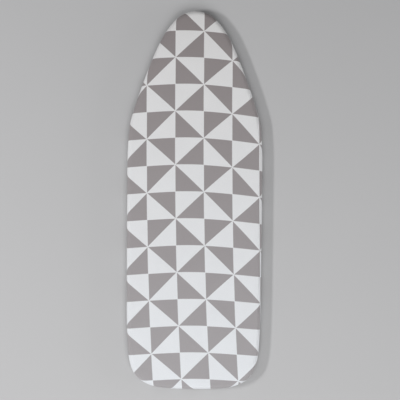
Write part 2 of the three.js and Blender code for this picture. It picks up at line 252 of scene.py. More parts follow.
# Rings of a stitch: place along it as a share of its length, then radius and height as
# shares of half the thread's thickness
STITCH_RINGS = ((-0.5, 0.35, -0.9), (-0.4, 0.85, -0.25), (0, 1, 0.1), (0.4, 0.85, -0.25), (0.5, 0.35, -0.9))
STITCH_SIDES = 6

# Joins of the casing along the cover
HEEL_JOIN = -380 * MM
STRAP_JOIN = 170 * MM
NOSE_JOIN = 402 * MM
JOIN_GAP = 0.6 * MM

# Cord, lock and tips
CORD_RADIUS = 1.5 * MM
TAIL_X = 1.7 * MM
TAIL_BEND = 12 * MM
LOCK_Z = 4.6 * MM
TAIL_START = -537.26 * MM
TAIL_SPREAD_START = -499.26 * MM
TIP_X = 8 * MM
TIP_Y = -477.26 * MM
TIP_Z = 2.8 * MM
TIP_SIDES = 40
CORD_END = -468.56 * MM
CORD_SIDES = 32

# Points of the cord's path: in a tip, where a tail spreads, straight through the lock, round
# its bend, from there to the casing and round the hem
TIP_POINTS = 20
SPREAD_POINTS = 56
STRAIGHT_POINTS = 96
BEND_POINTS = 48
GAP_POINTS = 50
HEM_POINTS = 620

# Braid of the cord: the waves round it and the length in which they repeat, their depth as a
# share of the radius, and how far from both ends they start to fade and are gone
BRAID_WAVES = 4
BRAID_PITCH = 7 * MM
BRAID_DEPTH = 0.13
BRAID_SHOWN = 110 * MM
BRAID_FADED = 120 * MM

# Cord lock: its softened edges, its grip ribs, with the places along and out of a crest's
# section, and its spring, which climbs less near its two ends
SHARP_ANGLE = 32
SOFTENED_EDGE = 0.18 * MM
RIB_COUNT = 4
RIB_START = 1.6 * MM
RIB_PITCH = 1.7 * MM
RIB_CREST = np.array(((-0.6, -0.2), (-0.4, 0.05), (-0.15, 0.16), (0.15, 0.16), (0.4, 0.05), (0.6, -0.2))) * MM
RIB_SIDES = 56
SPRING_WIRE = 0.25 * MM
SPRING_SIDES = 10
SPRING_TURNS = 4
SPRING_STEPS = 28
SPRING_ENDS = (0.06, 0.94)
SPRING_EVEN = 0.65

# Where the middle line that the flat faces close in on starts and ends, as shares of their
# length
SPINE_LOW = 0.12
SPINE_HIGH = 0.93

# Finishes: the pitch of the cotton's threads, how far the print wobbles, where its ink
# starts inside a triangle and over what width, half the root of two, and linear colours
COTTON_PITCH = 0.55 * MM
PRINT_WOBBLE = 0.7 * MM
INK_START = 0.3 * MM
INK_SOFT = 0.5 * MM
HALF_ROOT = 0.7071
# Painted shade in the hollows of the foam's pores
PORE_SHADE = (0.42, 0.36, 0.25)
STEEL_COLOUR = (0.6, 0.61, 0.62)

# Stage: half of the floor's width, where it starts to fade into the backdrop and over what
# width, the rays that see the backdrop, the even light, and the camera's sensor and reach
FLOOR_REACH = 9.0
FLOOR_PLAIN = 1.3
FLOOR_FADE = 1.1
SEEN_RAYS = ("Is Camera Ray", "Is Glossy Ray", "Is Transmission Ray")
WORLD_LIGHT = 0.3
SENSOR_WIDTH = 36
CLIP_END = 60


def linear(red, green, blue):
    """Screen colour from 0 to 255 as the linear light that a shader takes."""
    shares = np.array([red, green, blue]) / 255
    light = np.where(shares <= 0.04045, shares / 12.92, ((shares + 0.055) / 1.055) ** 2.4)
    return tuple(float(value) for value in light)


def ease(value, start, end):
    """0 before start, 1 after end, and between them 3 s squared less 2 s cubed."""
    share = np.clip((value - start) / (end - start), 0, 1)
    return share * share * (3 - 2 * share)


def from_least(least, share):
    """Goes from its least value up to 1 with the share."""
    return least + (1 - least) * share


def swing(angle):
    """A sine moved to go from 0 to 1."""
    return 0.5 + 0.5 * np.sin(angle)


def unit(vectors):
    """Vectors divided by their lengths."""
    return vectors / np.linalg.norm(vectors, axis=-1, keepdims=True)


def totals(steps):
    """What the steps add up to before each and after the last."""
    return np.concatenate(([0], np.cumsum(steps)))


def placed(*coordinates):
    """Points from their coordinates, each an array or a single number."""
    return np.stack(np.broadcast_arrays(*coordinates), axis=-1)


def steps_of(points):
    """Lengths between points that follow each other."""
    return np.linalg.norm(np.diff(points, axis=0), axis=1)


def angles(count, start=0):
    """Angles of even steps round a circle, from a share of a step."""
    return TAU * (np.arange(count) + start) / count


def round_section(sides):
    """Circle of radius 1: cosine and sine."""
    return placed(np.cos(angles(sides)), np.sin(angles(sides)))


def corners_of(node):
    """Lowest and highest corner of a CAD node's box, as arrays."""
    return np.array(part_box(node))


# outline and sections


def outline(half_width, half_length, turn):
    """Points and unit tangents of the closed outline at parameters from 0 to 1,
    anticlockwise from the middle of the heel: a Catmull-Rom curve whose knots are spaced
    by the square root of the distance between its points."""
    right = np.array(OUTLINE_SHARES, float)
    right = np.column_stack((right[:, 1] * half_width, (2 * right[:, 0] - 1) * half_length))
    knots = np.concatenate((right, right[-2:0:-1] * (-1, 1)))
    count = len(knots)
    place = np.mod(turn, 1) * count
    first = np.floor(place).astype(int) % count
    share = (place - np.floor(place))[..., None]
    p0, p1, p2, p3 = (knots[(first + k) % count] for k in (-1, 0, 1, 2))

    def gap(a, b):
        return np.sqrt(np.linalg.norm(b - a, axis=-1))[..., None]

    d0, d1, d2 = gap(p0, p1), gap(p1, p2), gap(p2, p3)
    start = ((p1 - p0) / d0 - (p2 - p0) / (d0 + d1) + (p2 - p1) / d1) * d1
    end = ((p2 - p1) / d1 - (p3 - p1) / (d1 + d2) + (p3 - p2) / d2) * d1
    square = -3 * p1 + 3 * p2 - 2 * start - end
    cube = 2 * p1 - 2 * p2 + start + end
    points = p1 + share * (start + share * (square + share * cube))
    return points, unit(start + share * (2 * square + 3 * share * cube))


def outward(course):
    """The course turned a quarter clockwise, which points out of the outline."""
    return placed(course[..., 1], -course[..., 0])


def edge(turn):
    """Outline of the fitted cloth."""
    return outline(HALF_WIDTH, HALF_LENGTH, turn)


def hem(turn):
    """Line of the drawn hem under the board: the outline with a smaller width and length."""
    return outline(HALF_WIDTH - SIDE_RETURN, HALF_LENGTH - END_RETURN, turn)


def stations(count, crowding):
    """Parameters round the outline, the same on both sides, spaced evenly by length and
    crowding + 1 times closer at the nose and the heel."""
    points = edge(HALF_TURN)[0]
    near_end = ease(np.abs(points[1:, 1] - EVEN_MIDDLE), EVEN_REACH, CROWDED_REACH)
    travelled = totals(steps_of(points) * (1 + crowding * near_end))
    right = np.interp(np.linspace(0, travelled[-1], count // 2 + 1), travelled, HALF_TURN)
    return np.concatenate((right, 1 - right[-2:0:-1]))


def turn_at(reached):
    """Parameter on the right half, heel to nose, where the hem reaches y, by a fine table."""
    return float(np.interp(reached, hem(SIDE_TURN)[0][:, 1], SIDE_TURN))


def mouth_turn():
    """Parameter where the hem is half the casing's mouth to the right at the heel."""
    return float(np.interp(CASING_MOUTH, hem(HEEL_TURN)[0][:, 0], HEEL_TURN))


def gathers(turn):
    """Ridges of the drawn-in cloth round the hem, from 0 in a fold to 1 on a ridge: a sine
    of the gathers' angle, which slow sines sway where the cloth is full."""
    angle = TAU * hem_travel(turn)
    sway = sum(reach * np.sin(count * angle + start) for reach, count, start in GATHER_SWAY)
    phase = gather_angle(turn) + sway * from_least(LEAST_SWAY, fullness(turn))
    return swing(phase) ** RIDGE_POWER


def gather_angle(turn):
    """Angle that grows by a full turn with each gather. Their spacing falls from the free
    to the close spacing with the cloth's fullness, and their number is whole."""
    spacing = GATHER_FREE + (GATHER_CLOSE - GATHER_FREE) * fullness(FINE_TURN[1:])
    grown = totals(steps_of(hem(FINE_TURN)[0]) / spacing)
    return TAU * np.round(grown[-1]) * np.interp(np.mod(turn, 1), FINE_TURN, grown / grown[-1])


def hem_travel(turn):
    """Share of the hem's length travelled from the middle of the heel."""
    travelled = totals(steps_of(hem(FINE_TURN)[0]))
    return np.interp(np.mod(turn, 1), FINE_TURN, travelled / travelled[-1])


def fullness(turn):
    """How much spare cloth is gathered there: little on the straight sides, all of it
    round the nose and the heel corners."""
    across, along = np.moveaxis(hem(turn)[0], -1, 0)
    nose = ease(along, *NOSE_FULL)
    corner = ease(-along, *CORNER_FULL) * ease(np.abs(across), *CORNER_ACROSS)
    heel = HEEL_SHARE * ease(-along, *HEEL_FULL)
    return from_least(LEAST_FULL, np.maximum(nose, np.maximum(corner, heel)))


def flange_length(turn):
    """Width of the cloth turned in under the board, from the rounding to the hem's end."""
    return np.linalg.norm(flange_end(turn) - flange_start(turn), axis=-1)


def flange_start(turn):
    """Where the rounding under the edge ends: the outline, in by the rounding's radius."""
    points, course = edge(turn)
    return points - outward(course) * UNDER_ROUND


def flange_end(turn):
    """Where the cloth ends: the hem's line, in by its lap."""
    points, course = hem(turn)
    return points - outward(course) * HEM_LAP


def flange(turn, share):
    """Outer face of the cloth under the board. Share goes from 0 at the rounding to 1 at
    the hem. Ridges hang down between the rounding and the casing, with lesser ones among
    them near the seam, and over the casing they stand up instead."""
    start, end = flange_start(turn), flange_end(turn)
    flat = start + (end - start) * share[..., None]
    to_go = (1 - share) * flange_length(turn)
    ridge, full = gathers(turn), fullness(turn)
    swayed = CRIMP_SWAY * np.sin(TAU * CRIMP_SWAYS * hem_travel(turn))
    lesser = swing(CRIMPS_TO_A_GATHER * gather_angle(turn) + swayed)
    hang = ease(share, 0, 0.5) * ease(to_go, CASING_SIDE, TAPE_EDGE + GATHER_FADE)
    crimp = ease(share, 0.4, 0.8) * ease(to_go, CASING_SIDE, TAPE_EDGE)
    over = 1 - ease(to_go, HEM_LAP, CASING_SIDE)
    height = UNDERSIDE_Z + (HEM_Z - UNDERSIDE_Z) * share
    height = height - full * (GATHER_DEPTH * ridge * hang + CRIMP_DEPTH * lesser * crimp)
    height = height + HEM_RISE * from_least(LEAST_RISE, full) * ridge * over
    return np.concatenate((flat, height[..., None]), axis=-1)


def softness(x, y):
    """Slow waves in the padded face, from 0 to 1: sines across and along it."""
    waves = sum(rise * np.sin(a * x + b * y + start) for rise, a, b, start in FACE_WAVES)
    return 0.5 + 0.5 * waves / sum(rise for rise, *_ in FACE_WAVES)


# meshes


def ring_faces(rows, count):
    """Quads between rows of points that each run once round, looking outwards when the
    rows go out and down: those of a grid, turned over."""
    return np.roll(grid_faces(rows, count, round_columns=True)[:, ::-1], 1, axis=1)


def panel(ring, first, ring_start, courses_in):
    """Fills a ring with smaller rings that close in on a spine along the middle. Each
    point moves straight to its place on the spine, which goes from the heel to the nose
    with half the point's number and half its y. Returns the new points, which are
    numbered from first, and the faces."""
    count = len(ring)
    half = count // 2
    order = np.minimum(np.arange(count), count - np.arange(count))
    low, high = ring[0, 1], ring[half, 1]
    share = 0.5 * np.arange(half + 1) / half + 0.5 * (ring[:half + 1, 1] - low) / (high - low)
    spine = np.zeros((half + 1, 3))
    spine[:, 1] = low + (high - low) * (SPINE_LOW + (SPINE_HIGH - SPINE_LOW) * share)
    spine[:, 2] = ring[0, 2]
    inward = np.arange(1, courses_in) / courses_in
    rings = ring + (spine[order] - ring) * inward[:, None, None]
    numbers = np.empty((courses_in + 1, count), int)
    numbers[0] = ring_start + np.arange(count)
    numbers[1:-1] = first + np.arange((courses_in - 1) * count).reshape(courses_in - 1, count)
    numbers[-1] = first + (courses_in - 1) * count + order
    after = np.roll(numbers, -1, axis=1)
    quads = np.stack((numbers[1:], numbers[:-1], after[:-1], after[1:]), axis=-1)
    return np.concatenate((rings.reshape(-1, 3), spine)), quads.reshape(-1, 4).tolist()


def grid_faces(rows, columns, round_rows=False, round_columns=False):
    """Quads of a grid of points, closed on itself along rows or columns where asked."""
    r, c = np.meshgrid(
        np.arange(rows if round_rows else rows - 1),
        np.arange(columns if round_columns else columns - 1), indexing="ij")
    r2, c2 = (r + 1) % rows, (c + 1) % columns
    corners = (r * columns + c, r * columns + c2, r2 * columns + c2, r2 * columns + c)
    return np.stack(corners, axis=-1).reshape(-1, 4)


def make(name, points, faces, finishes, body, nodes, slot, flat_map=None, angle=None):
    """New piece from points and faces, with its flat map where one is given. The slot is not used."""
    mesh = bpy.data.meshes.new(name)
    mesh.from_pydata(np.reshape(points, (-1, 3)).tolist(), [], np.asarray(faces, object).tolist())
    if flat_map is not None:
        corners = np.empty(len(mesh.loops), np.int32)
        mesh.loops.foreach_get("vertex_index", corners)
        layer = mesh.uv_layers.new(name="cut")
        layer.uv.foreach_set("vector", np.asarray(flat_map, np.float32)[corners].ravel())
    mesh.validate()
    return finished(name, mesh, finishes, body, nodes, slot, angle)


def finished(name, mesh, finishes, body, nodes, slot, angle):
    """Shades a mesh, with sharp edges past an angle in degrees, gives it its finishes and
    makes it a piece that rides on a body and stands for CAD nodes."""
    mesh.shade_smooth()
    if angle is not None:
        mesh.set_sharp_from_angle(angle=np.radians(angle))
    for finish in finishes:
        mesh.materials.append(finish)
    piece = bpy.data.objects.new(name, mesh)
    bpy.context.scene.collection.objects.link(piece)
    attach(piece, body)
    if nodes:
        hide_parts(*nodes)
    return piece


def turned_out(piece):
    """Gives a closed mesh outward faces, after points that coincide are merged."""
    work = bmesh.new()
    work.from_mesh(piece.data)
    bmesh.ops.remove_doubles(work, verts=work.verts, dist=1e-7)
    bmesh.ops.recalc_face_normals(work, faces=work.faces)
    work.to_mesh(piece.data)
    work.free()
    return piece


def tube(path, across, up, profile):
    """Points of a profile carried along a path: path plus across times its first
    coordinate plus up times its second. The profile is one outline or one per place."""
    profile = np.broadcast_to(profile, (len(path),) + np.shape(profile)[-2:])
    return path[:, None] + across[:, None] * profile[..., :1] + up[:, None] * profile[..., 1:]


def courses(path, axis=0):
    """Unit direction of travel at each point of a path."""
    return unit(np.gradient(path, axis=axis))


def capped(rows, columns):
    """Faces of a tube of rings with a polygon over each end."""
    start, end = range(columns), range((rows - 1) * columns, rows * columns)
    return grid_faces(rows, columns, round_columns=True).tolist() + [list(start)[::-1], list(end)]


def repeated(faces, count, points_each):
    """Faces of many like meshes whose points follow each other."""
    return [[n + points_each * k for n in face] for k in range(count) for face in faces]


def stitches(centres, ways, ups, length, thickness):
    """Points and faces of one thread stitch at each centre: rings of points that taper at
    the ends, where the thread dips into the cloth."""
    along, radius, dip = np.array(STITCH_RINGS).T[..., None]
    circle = round_section(STITCH_SIDES)
    out = circle[:, 0] * radius * thickness / 2
    high = (circle[:, 1] * radius + dip) * thickness / 2
    along, out, high = (np.broadcast_to(part, out.shape)[..., None] for part in (along * length, out, high))
    centres, ways, ups = (part[:, None, None] for part in (centres, ways, ups))
    points = centres + ways * along + np.cross(ups, ways) * out + ups * high
    one = capped(len(STITCH_RINGS), STITCH_SIDES)
    return points.reshape(-1, 3), repeated(one, len(centres), out.size)


def joined(*parts):
    """Several meshes' points and faces as one."""
    points, faces, first = [], [], 0
    for some_points, some_faces in parts:
        some_points = np.asarray(some_points).reshape(-1, 3)
        points.append(some_points)
        faces += [[n + first for n in face] for face in np.asarray(some_faces, object).tolist()]
        first += len(some_points)
    return np.concatenate(points), faces


# finishes


class Value:
    """What a node gives out. Expressions on values add their Math nodes."""

    def __init__(self, nodes, socket):
        self.nodes = nodes
        self.socket = socket

    def math(self, operation, *others):
        return self.nodes.math(operation, self, *others)

    def __add__(self, other):
        return self.math("ADD", other)

    __radd__ = __add__

    def __sub__(self, other):
        return self.math("SUBTRACT", other)

    def __rsub__(self, other):
        return self.nodes.math("SUBTRACT", other, self)

    def __mul__(self, other):
        return self.math("MULTIPLY", other)

    __rmul__ = __mul__

    def __truediv__(self, other):
        return self.math("DIVIDE", other)

    def __rtruediv__(self, other):
        return self.nodes.math("DIVIDE", other, self)

    def __neg__(self):
        return self.math("MULTIPLY", -1)

    def __abs__(self):
        return self.math("ABSOLUTE")

    def sine(self):
        return self.math("SINE")

    def wave(self, long):
        """Sine of the value, which repeats after a length."""
        return (self * (TAU / long)).sine()

    def floor(self):
        return self.math("FLOOR")

    def least(self, other):
        return self.math("MINIMUM", other)

    def most(self, other):
        return self.math("MAXIMUM", other)

    def clamped(self):
        return self.most(0).least(1)


class Nodes:
    """An emptied node tree with its output."""

    def __init__(self, owner, output):
        owner.use_nodes = True
        self.tree = owner.node_tree
        self.tree.nodes.clear()
        self.output = self.tree.nodes.new(output)

    def show(self, shader):
        """Feeds the output's surface."""
        self.feed(self.output.inputs[0], shader)

    def node(self, kind, settings=None, sockets=None, result=0):
        """Adds one node: its settings first, then the values or links of its sockets."""
        made = self.tree.nodes.new(kind)
        for setting, value in (settings or {}).items():
            setattr(made, setting, value)
        for socket, value in (sockets or {}).items():
            self.feed(made.inputs[socket], value)
        return Value(self, made.outputs[result])

    def feed(self, socket, value):
        if isinstance(value, Value):
            self.tree.links.new(value.socket, socket)
        elif socket.type == "RGBA" and len(value) == 3:
            socket.default_value = (*value, 1)
        else:
            socket.default_value = value

    def math(self, operation, *values):
        return self.node("ShaderNodeMath", {"operation": operation}, dict(enumerate(values)))

    def blended(self, share, first, second):
        """One shader over another by a share from 0 to 1."""
        return self.node("ShaderNodeMixShader", sockets={0: share, 1: first, 2: second})

    def seen(self):
        """1 where the camera, gloss or glass sees, and 0 for light on the object."""
        camera, gloss, glass = (self.node("ShaderNodeLightPath", result=ray) for ray in SEEN_RAYS)
        return camera.most(gloss).most(glass)


class Finish(Nodes):
    """A procedural material: a Principled shader and the nodes that feed it. Keywords
    are sockets of the shader that hold one value all over the surface."""

    def __init__(self, name, roughness, **constants):
        self.material = bpy.data.materials.new(name)
        super().__init__(self.material, "ShaderNodeOutputMaterial")
        self.shader = self.node("ShaderNodeBsdfPrincipled")
        self.show(self.shader)
        self.set("Roughness", roughness)
        for socket, value in constants.items():
            self.set(socket.replace("_", " ").title().replace("Ior", "IOR"), value)

    def set(self, socket, value):
        self.feed(self.shader.socket.node.inputs[socket], value)

    def mix(self, share, first, second):
        return self.node("ShaderNodeMix", {"data_type": "RGBA"}, {0: share, 6: first, 7: second}, 2)

    def paint(self, colour, light):
        """Base colour, made lighter or darker by a value near 1."""
        scaled = self.node("ShaderNodeVectorMath", {"operation": "SCALE"}, {0: colour, "Scale": light})
        self.set("Base Color", scaled)

    def place(self):
        return self.node("ShaderNodeTexCoord", result=3)

    def cut(self):
        return self.node("ShaderNodeUVMap", {"uv_map": "cut"})

    def split(self, vector):
        made = self.node("ShaderNodeSeparateXYZ", sockets={0: vector}).socket.node
        return [Value(self, output) for output in made.outputs]

    def noise(self, where, scale, detail=2, roughness=0.5):
        sockets = {"Vector": where, "Scale": scale, "Detail": detail, "Roughness": roughness}
        return self.node("ShaderNodeTexNoise", sockets=sockets)

    def fibres(self, where, finenesses, detail=3, roughness=0.5):
        """Noise drawn out along the axes on which it is less fine."""
        drawn = self.node("ShaderNodeVectorMath", {"operation": "MULTIPLY"}, {0: where, 1: finenesses})
        return self.noise(drawn, 1, detail, roughness)

    def bump(self, height, distance, strength=1.0):
        sockets = {"Height": height, "Distance": distance, "Strength": strength}
        self.set("Normal", self.node("ShaderNodeBump", sockets=sockets))

    def weave(self, first, second, pitch):
        """Plain weave: two sines that repeat after two threads, multiplied, so that threads
        pass over and under in turn."""
        return first.wave(2 * pitch) * second.wave(2 * pitch)


def printed_cotton(settings):
    """Patchwork print of half-square triangles that meet in pinwheels. Column and row come
    from the place on the cut cloth, bent as the drawn-tight cloth bends them. In every
    square one diagonal parts pale from grey, and the diagonals and colours take turns.
    Painted light makes the cloth paler and bluer towards the heel, and painted shade
    darkens it at the nose."""
    finish = Finish("Printed cotton", 0.88, sheen_weight=0.35, sheen_roughness=0.5, specular_ior_level=0.25)
    cut = finish.cut()
    x, y, _ = finish.split(cut)
    across, along = x / HALF_WIDTH, y / HALF_LENGTH
    # Powers of the shares across and along bend the columns and rows, by shares of the bow,
    # and from 0.6 of the way to the right edge the cloth is drawn over
    bow = settings.print_bow
    across2 = across * across
    heelwards = (1 - along) * 0.5
    sway = heelwards * heelwards * heelwards * (1.5 * bow) - 0.175 * bow
    drop = across2 * (bow + along * (0.2 * bow) - across2 * (0.25 * bow))
    drop = drop + across * (0.15 * bow + along * (0.22 * bow)) + along * along * along * (0.2 * bow)
    wobble = (finish.noise(cut, 260) - 0.5) * PRINT_WOBBLE
    drawn = ((across - 0.6) / 0.4).most(0)
    pull = drawn * drawn.least(1) * settings.print_pull
    column = (x - (sway + settings.print_start_x) + pull + wobble) / settings.square_width
    row = (settings.print_start_y - y - drop + wobble) / settings.square_length
    column_number, row_number = column.floor(), row.floor()
    u, v = column - column_number, row - row_number
    odd_column = abs(column_number.math("MODULO", 2))
    odd_square = abs((column_number + row_number).math("MODULO", 2))
    falling = 1 - u - v
    rising = u - v
    slope = falling + (rising - falling) * odd_square
    pale_side = slope * (odd_column * 2 - 1)
    reach = HALF_ROOT * settings.square_length
    inside = (-pale_side * reach).least(u.least(1 - u) * settings.square_width)
    inside = inside.least(v.least(1 - v) * settings.square_length)
    ink = ((inside - INK_START) / INK_SOFT).clamped()
    # Painted light: the print's colours go from those at the nose to the paler, bluer ones at the heel, as
    # the light grows towards the heel
    painted_heel_light = (0.5 - along * 0.5).clamped()
    thread = finish.fibres(cut, (900, 5200, 1), 3, 0.6)
    thread2 = finish.fibres(cut, (5200, 900, 1), 3, 0.6)
    cloud = finish.noise(cut, 9, 3, 0.6)
    grey = finish.mix(painted_heel_light, settings.print_grey, settings.print_grey_heel)
    white = finish.mix(painted_heel_light, settings.print_white, settings.print_white_heel)
    colour = finish.mix(ink, white, grey)
    # Painted shade: over the last part of its length towards the nose the cloth is darkened, where the light
    # falls off
    painted_nose_shade = ((along - 0.72) / 0.28).clamped()
    weave = finish.weave(x, y, COTTON_PITCH)
    # Grain of the weave and threads, less the painted shade at the nose
    grain = 1 + weave * 0.035 + (thread + thread2 - 1) * 0.26 + (cloud - 0.5) * 0.07 - painted_nose_shade * 0.07
    finish.paint(colour, grain)
    crumple = finish.noise(cut, 22, 4, 0.55)
    finish.bump(weave * 0.11 + (thread + thread2) * 0.12 + crumple * 1.2, 0.8 * MM, 0.5)
    return finish.material


def cotton_back(settings):
    """Unprinted side of the cotton, with the print showing through as faint cloud."""
    finish = Finish("Cotton back", 0.92, sheen_weight=0.15, sheen_roughness=0.5)
    cut = finish.cut()
    x, y, _ = finish.split(cut)
    cloud = finish.noise(cut, 14, 3)
    finish.paint(settings.print_white, 0.86 + cloud * 0.16)
    finish.bump(finish.weave(x, y, COTTON_PITCH), 0.04 * MM, 0.5)
    return finish.material


def needled_felt(settings):
    """Felt of recycled fibres: short pale and dark fibres that lie in all directions,
    matted into soft clouds and faint needle marks."""
    finish = Finish("Needled felt", 1.0, sheen_weight=0.3, sheen_roughness=0.6)
    place = finish.place()
    along = finish.fibres(place, (3200, 520, 1800), 3, 0.65)
    across = finish.fibres(place, (520, 3200, 1800), 3, 0.65)
    slanting = finish.fibres(place, (1300, 1500, 1800), 4, 0.7)
    clouds = finish.noise(place, 26, 4, 0.6)
    marks = finish.noise(place, 210, 2, 0.5)
    dark_share = ((slanting - 0.53) * 6).clamped() * 0.6 + ((across - 0.56) * 7).clamped() * 0.4
    dark = finish.mix(dark_share.clamped(), settings.felt_colour, settings.felt_dark)
    pale = finish.mix(((along - 0.54) * 7).clamped() * 0.6, dark, settings.felt_pale)
    finish.paint(pale, 0.8 + clouds * 0.28 + marks * 0.14)
    finish.bump(along + across + clouds * 2 + marks, 0.45 * MM, 0.8)
    return finish.material


def open_foam(settings):
    """Open-cell foam: round pores of about a millimetre, their floors darkened by painted shade."""
    finish = Finish("Open-cell foam", 0.95, specular_ior_level=0.2)
    place = finish.place()
    cells = finish.node("ShaderNodeTexVoronoi", sockets={"Vector": place, "Scale": 900.0})
    small = finish.node("ShaderNodeTexVoronoi", sockets={"Vector": place, "Scale": 2100.0})
    tone = finish.noise(place, 30, 3)
    pores = (cells * 1.3).clamped()
    # The pores' floors take the painted shade colour
    colour = finish.mix(pores, settings.foam_colour, PORE_SHADE)
    finish.paint(colour, 0.9 + tone * 0.2)
    finish.bump((1 - pores) + small * 0.4, 0.4 * MM, 0.9)
    return finish.material


def cotton_tape(settings):
    """Twill tape: fine slanting ribs, a little uneven."""
    finish = Finish("Cotton tape", 0.9, sheen_weight=0.2, sheen_roughness=0.5)
    cut = finish.cut()
    x, y, _ = finish.split(cut)
    ribs = (x + y).wave(0.9 * MM)
    slubs = finish.fibres(cut, (700, 4000, 1))
    cloud = finish.noise(cut, 35, 3)
    light = 0.9 + ribs * 0.035 + (slubs - 0.5) * 0.14 + (cloud - 0.5) * 0.14
    finish.paint(settings.tape_colour, light)
    finish.bump(ribs * 0.5 + slubs, 0.12 * MM, 0.7)
    return finish.material


def sewing_thread(settings):
    """Two-ply polyester thread with a fine twist."""
    finish = Finish("Sewing thread", 0.6, sheen_weight=0.2)
    x, y, z = finish.split(finish.place())
    twist = (x + y + z * 1.7).wave(0.35 * MM)
    finish.paint(settings.thread_colour, 0.93 + twist * 0.07)
    finish.bump(twist, 0.05 * MM, 0.6)
    return finish.material


def braided_cord(settings):
    """Braided polyester: yarns cross in two directions round the cord."""
    finish = Finish("Braided cord", 0.7, sheen_weight=0.25, sheen_roughness=0.4)
    x, y, _ = finish.split(finish.cut())
    left = ((x * 8 + y * (TAU / (6 * MM))) * 3).sine()
    right = ((x * 8 - y * (TAU / (6 * MM))) * 3).sine()
    strands = finish.fibres(finish.cut(), (40, 3000, 1))
    finish.paint(settings.cord_colour, 0.86 + (left * right) * 0.07 + strands * 0.16)
    finish.bump(left + right, 0.06 * MM, 0.6)
    return finish.material


def moulded_plastic(name, colour, roughness):
    """Moulded plastic with a fine spark-eroded grain and faint handling shine."""
    finish = Finish(name, roughness, specular_ior_level=0.45)
    place = finish.place()
    grain = finish.noise(place, 3800, 2, 0.6)
    flow = finish.noise(place, 120, 3, 0.6)
    finish.paint(colour, 0.94 + flow * 0.12)
    finish.set("Roughness", roughness + (flow - 0.5) * 0.16 + (grain - 0.5) * 0.1)
    finish.bump(grain, 0.03 * MM, 0.6)
    return finish.material


def spring_steel():
    """Drawn spring wire: bright, with fine lines along the wire."""
    finish = Finish("Spring steel", 0.3, metallic=1.0)
    place = finish.place()
    lines = finish.fibres(place, (6000, 900, 900), 2)
    finish.paint(STEEL_COLOUR, 0.88 + lines * 0.2)
    finish.set("Roughness", 0.22 + lines * 0.2)
    return finish.material


def woven_elastic(settings):
    """Braided elastic: rubber ribs along the band with yarn wound over them."""
    finish = Finish("Woven elastic", 0.85, sheen_weight=0.2)
    x, y, _ = finish.split(finish.cut())
    ribs = y.wave(1.25 * MM)
    yarn = (x + abs(ribs) * (0.25 * MM)).wave(0.7 * MM)
    tone = finish.noise(finish.cut(), 60, 3)
    light = 0.88 + ribs * 0.05 + yarn * 0.05 + (tone - 0.5) * 0.12
    finish.paint(settings.elastic_colour, light)
    finish.bump(ribs * 0.6 + yarn * 0.5, 0.16 * MM, 0.8)
    return finish.material


def nylon_tape(name, colour, roughness, scale):
    """Woven nylon ground of the hook and the loop tape."""
    finish = Finish(name, roughness, sheen_weight=0.3)
    place = finish.place()
    x, y, _ = finish.split(place)
    ground = finish.weave(x, y, 0.8 * MM)
    fuzz = finish.noise(place, scale, 4, 0.7)
    finish.paint(colour, 0.8 + ground * 0.05 + fuzz * 0.35)
    finish.bump(ground * 0.5 + fuzz, 0.2 * MM, 0.7)
    return finish.material


def woven_satin(settings):
    """Satin ribbon: long floating threads that shine along the ribbon, between firm
    woven edges."""
    finish = Finish("Woven satin", 0.42, sheen_weight=0.1, anisotropic=0.5)
    cut = finish.cut()
    x, y, _ = finish.split(cut)
    floats = finish.fibres(cut, (420, 7000, 1))
    threads = y.wave(0.42 * MM)
    firm = ((abs(y) - 0.84 * LABEL_HALF_WIDTH) / (0.3 * MM)).clamped()
    ticks = finish.weave(x, y, 0.7 * MM)
    light = 0.9 + threads * 0.03 + floats * 0.14 - firm * 0.06 + firm * ticks * 0.05
    finish.paint(settings.label_colour, light)
    finish.set("Roughness", 0.3 + floats * 0.2 + firm * 0.3)
    finish.bump(threads * 0.6 + floats + firm * (ticks - 1), 0.05 * MM, 0.6)
    return finish.material


def plain_floor(settings):
    """Matt studio floor, very slightly mottled. Away from the cover, what the camera,
    gloss and glass see of it fades into the backdrop."""
    finish = Finish("Studio floor", 0.95, specular_ior_level=0.1)
    place = finish.place()
    mottle = finish.noise(place, 3, 3)
    finish.paint(settings.floor_colour, 0.99 + mottle * 0.02)
    x, y, _ = finish.split(place)
    away = (x * x + y * y).math("SQRT")
    fade = ((away - FLOOR_PLAIN) / FLOOR_FADE).clamped()
    fade = fade * fade * (3 - 2 * fade)
    glow = finish.node("ShaderNodeEmission", sockets={"Color": settings.backdrop_colour})
    finish.show(finish.blended(fade * finish.seen(), finish.shader, glow))
    return finish.material


# settings


def length(name, description, default):
    """A setting in metres above 0."""
    return bpy.props.FloatProperty(
        name=name, description=description, default=default, min=0.0001, subtype="DISTANCE",
        unit="LENGTH", precision=5)


def offset(name, description, default):
    """A setting in metres of either sign."""
    return bpy.props.FloatProperty(
        name=name, description=description, default=default, subtype="DISTANCE", unit="LENGTH",
        precision=5)


def colour(name, description, *screen):
    """A setting for a colour, given as it is on a screen."""
    return bpy.props.FloatVectorProperty(
        name=name, description=description, default=linear(*screen), size=3, min=0, max=1,
        subtype="COLOR")


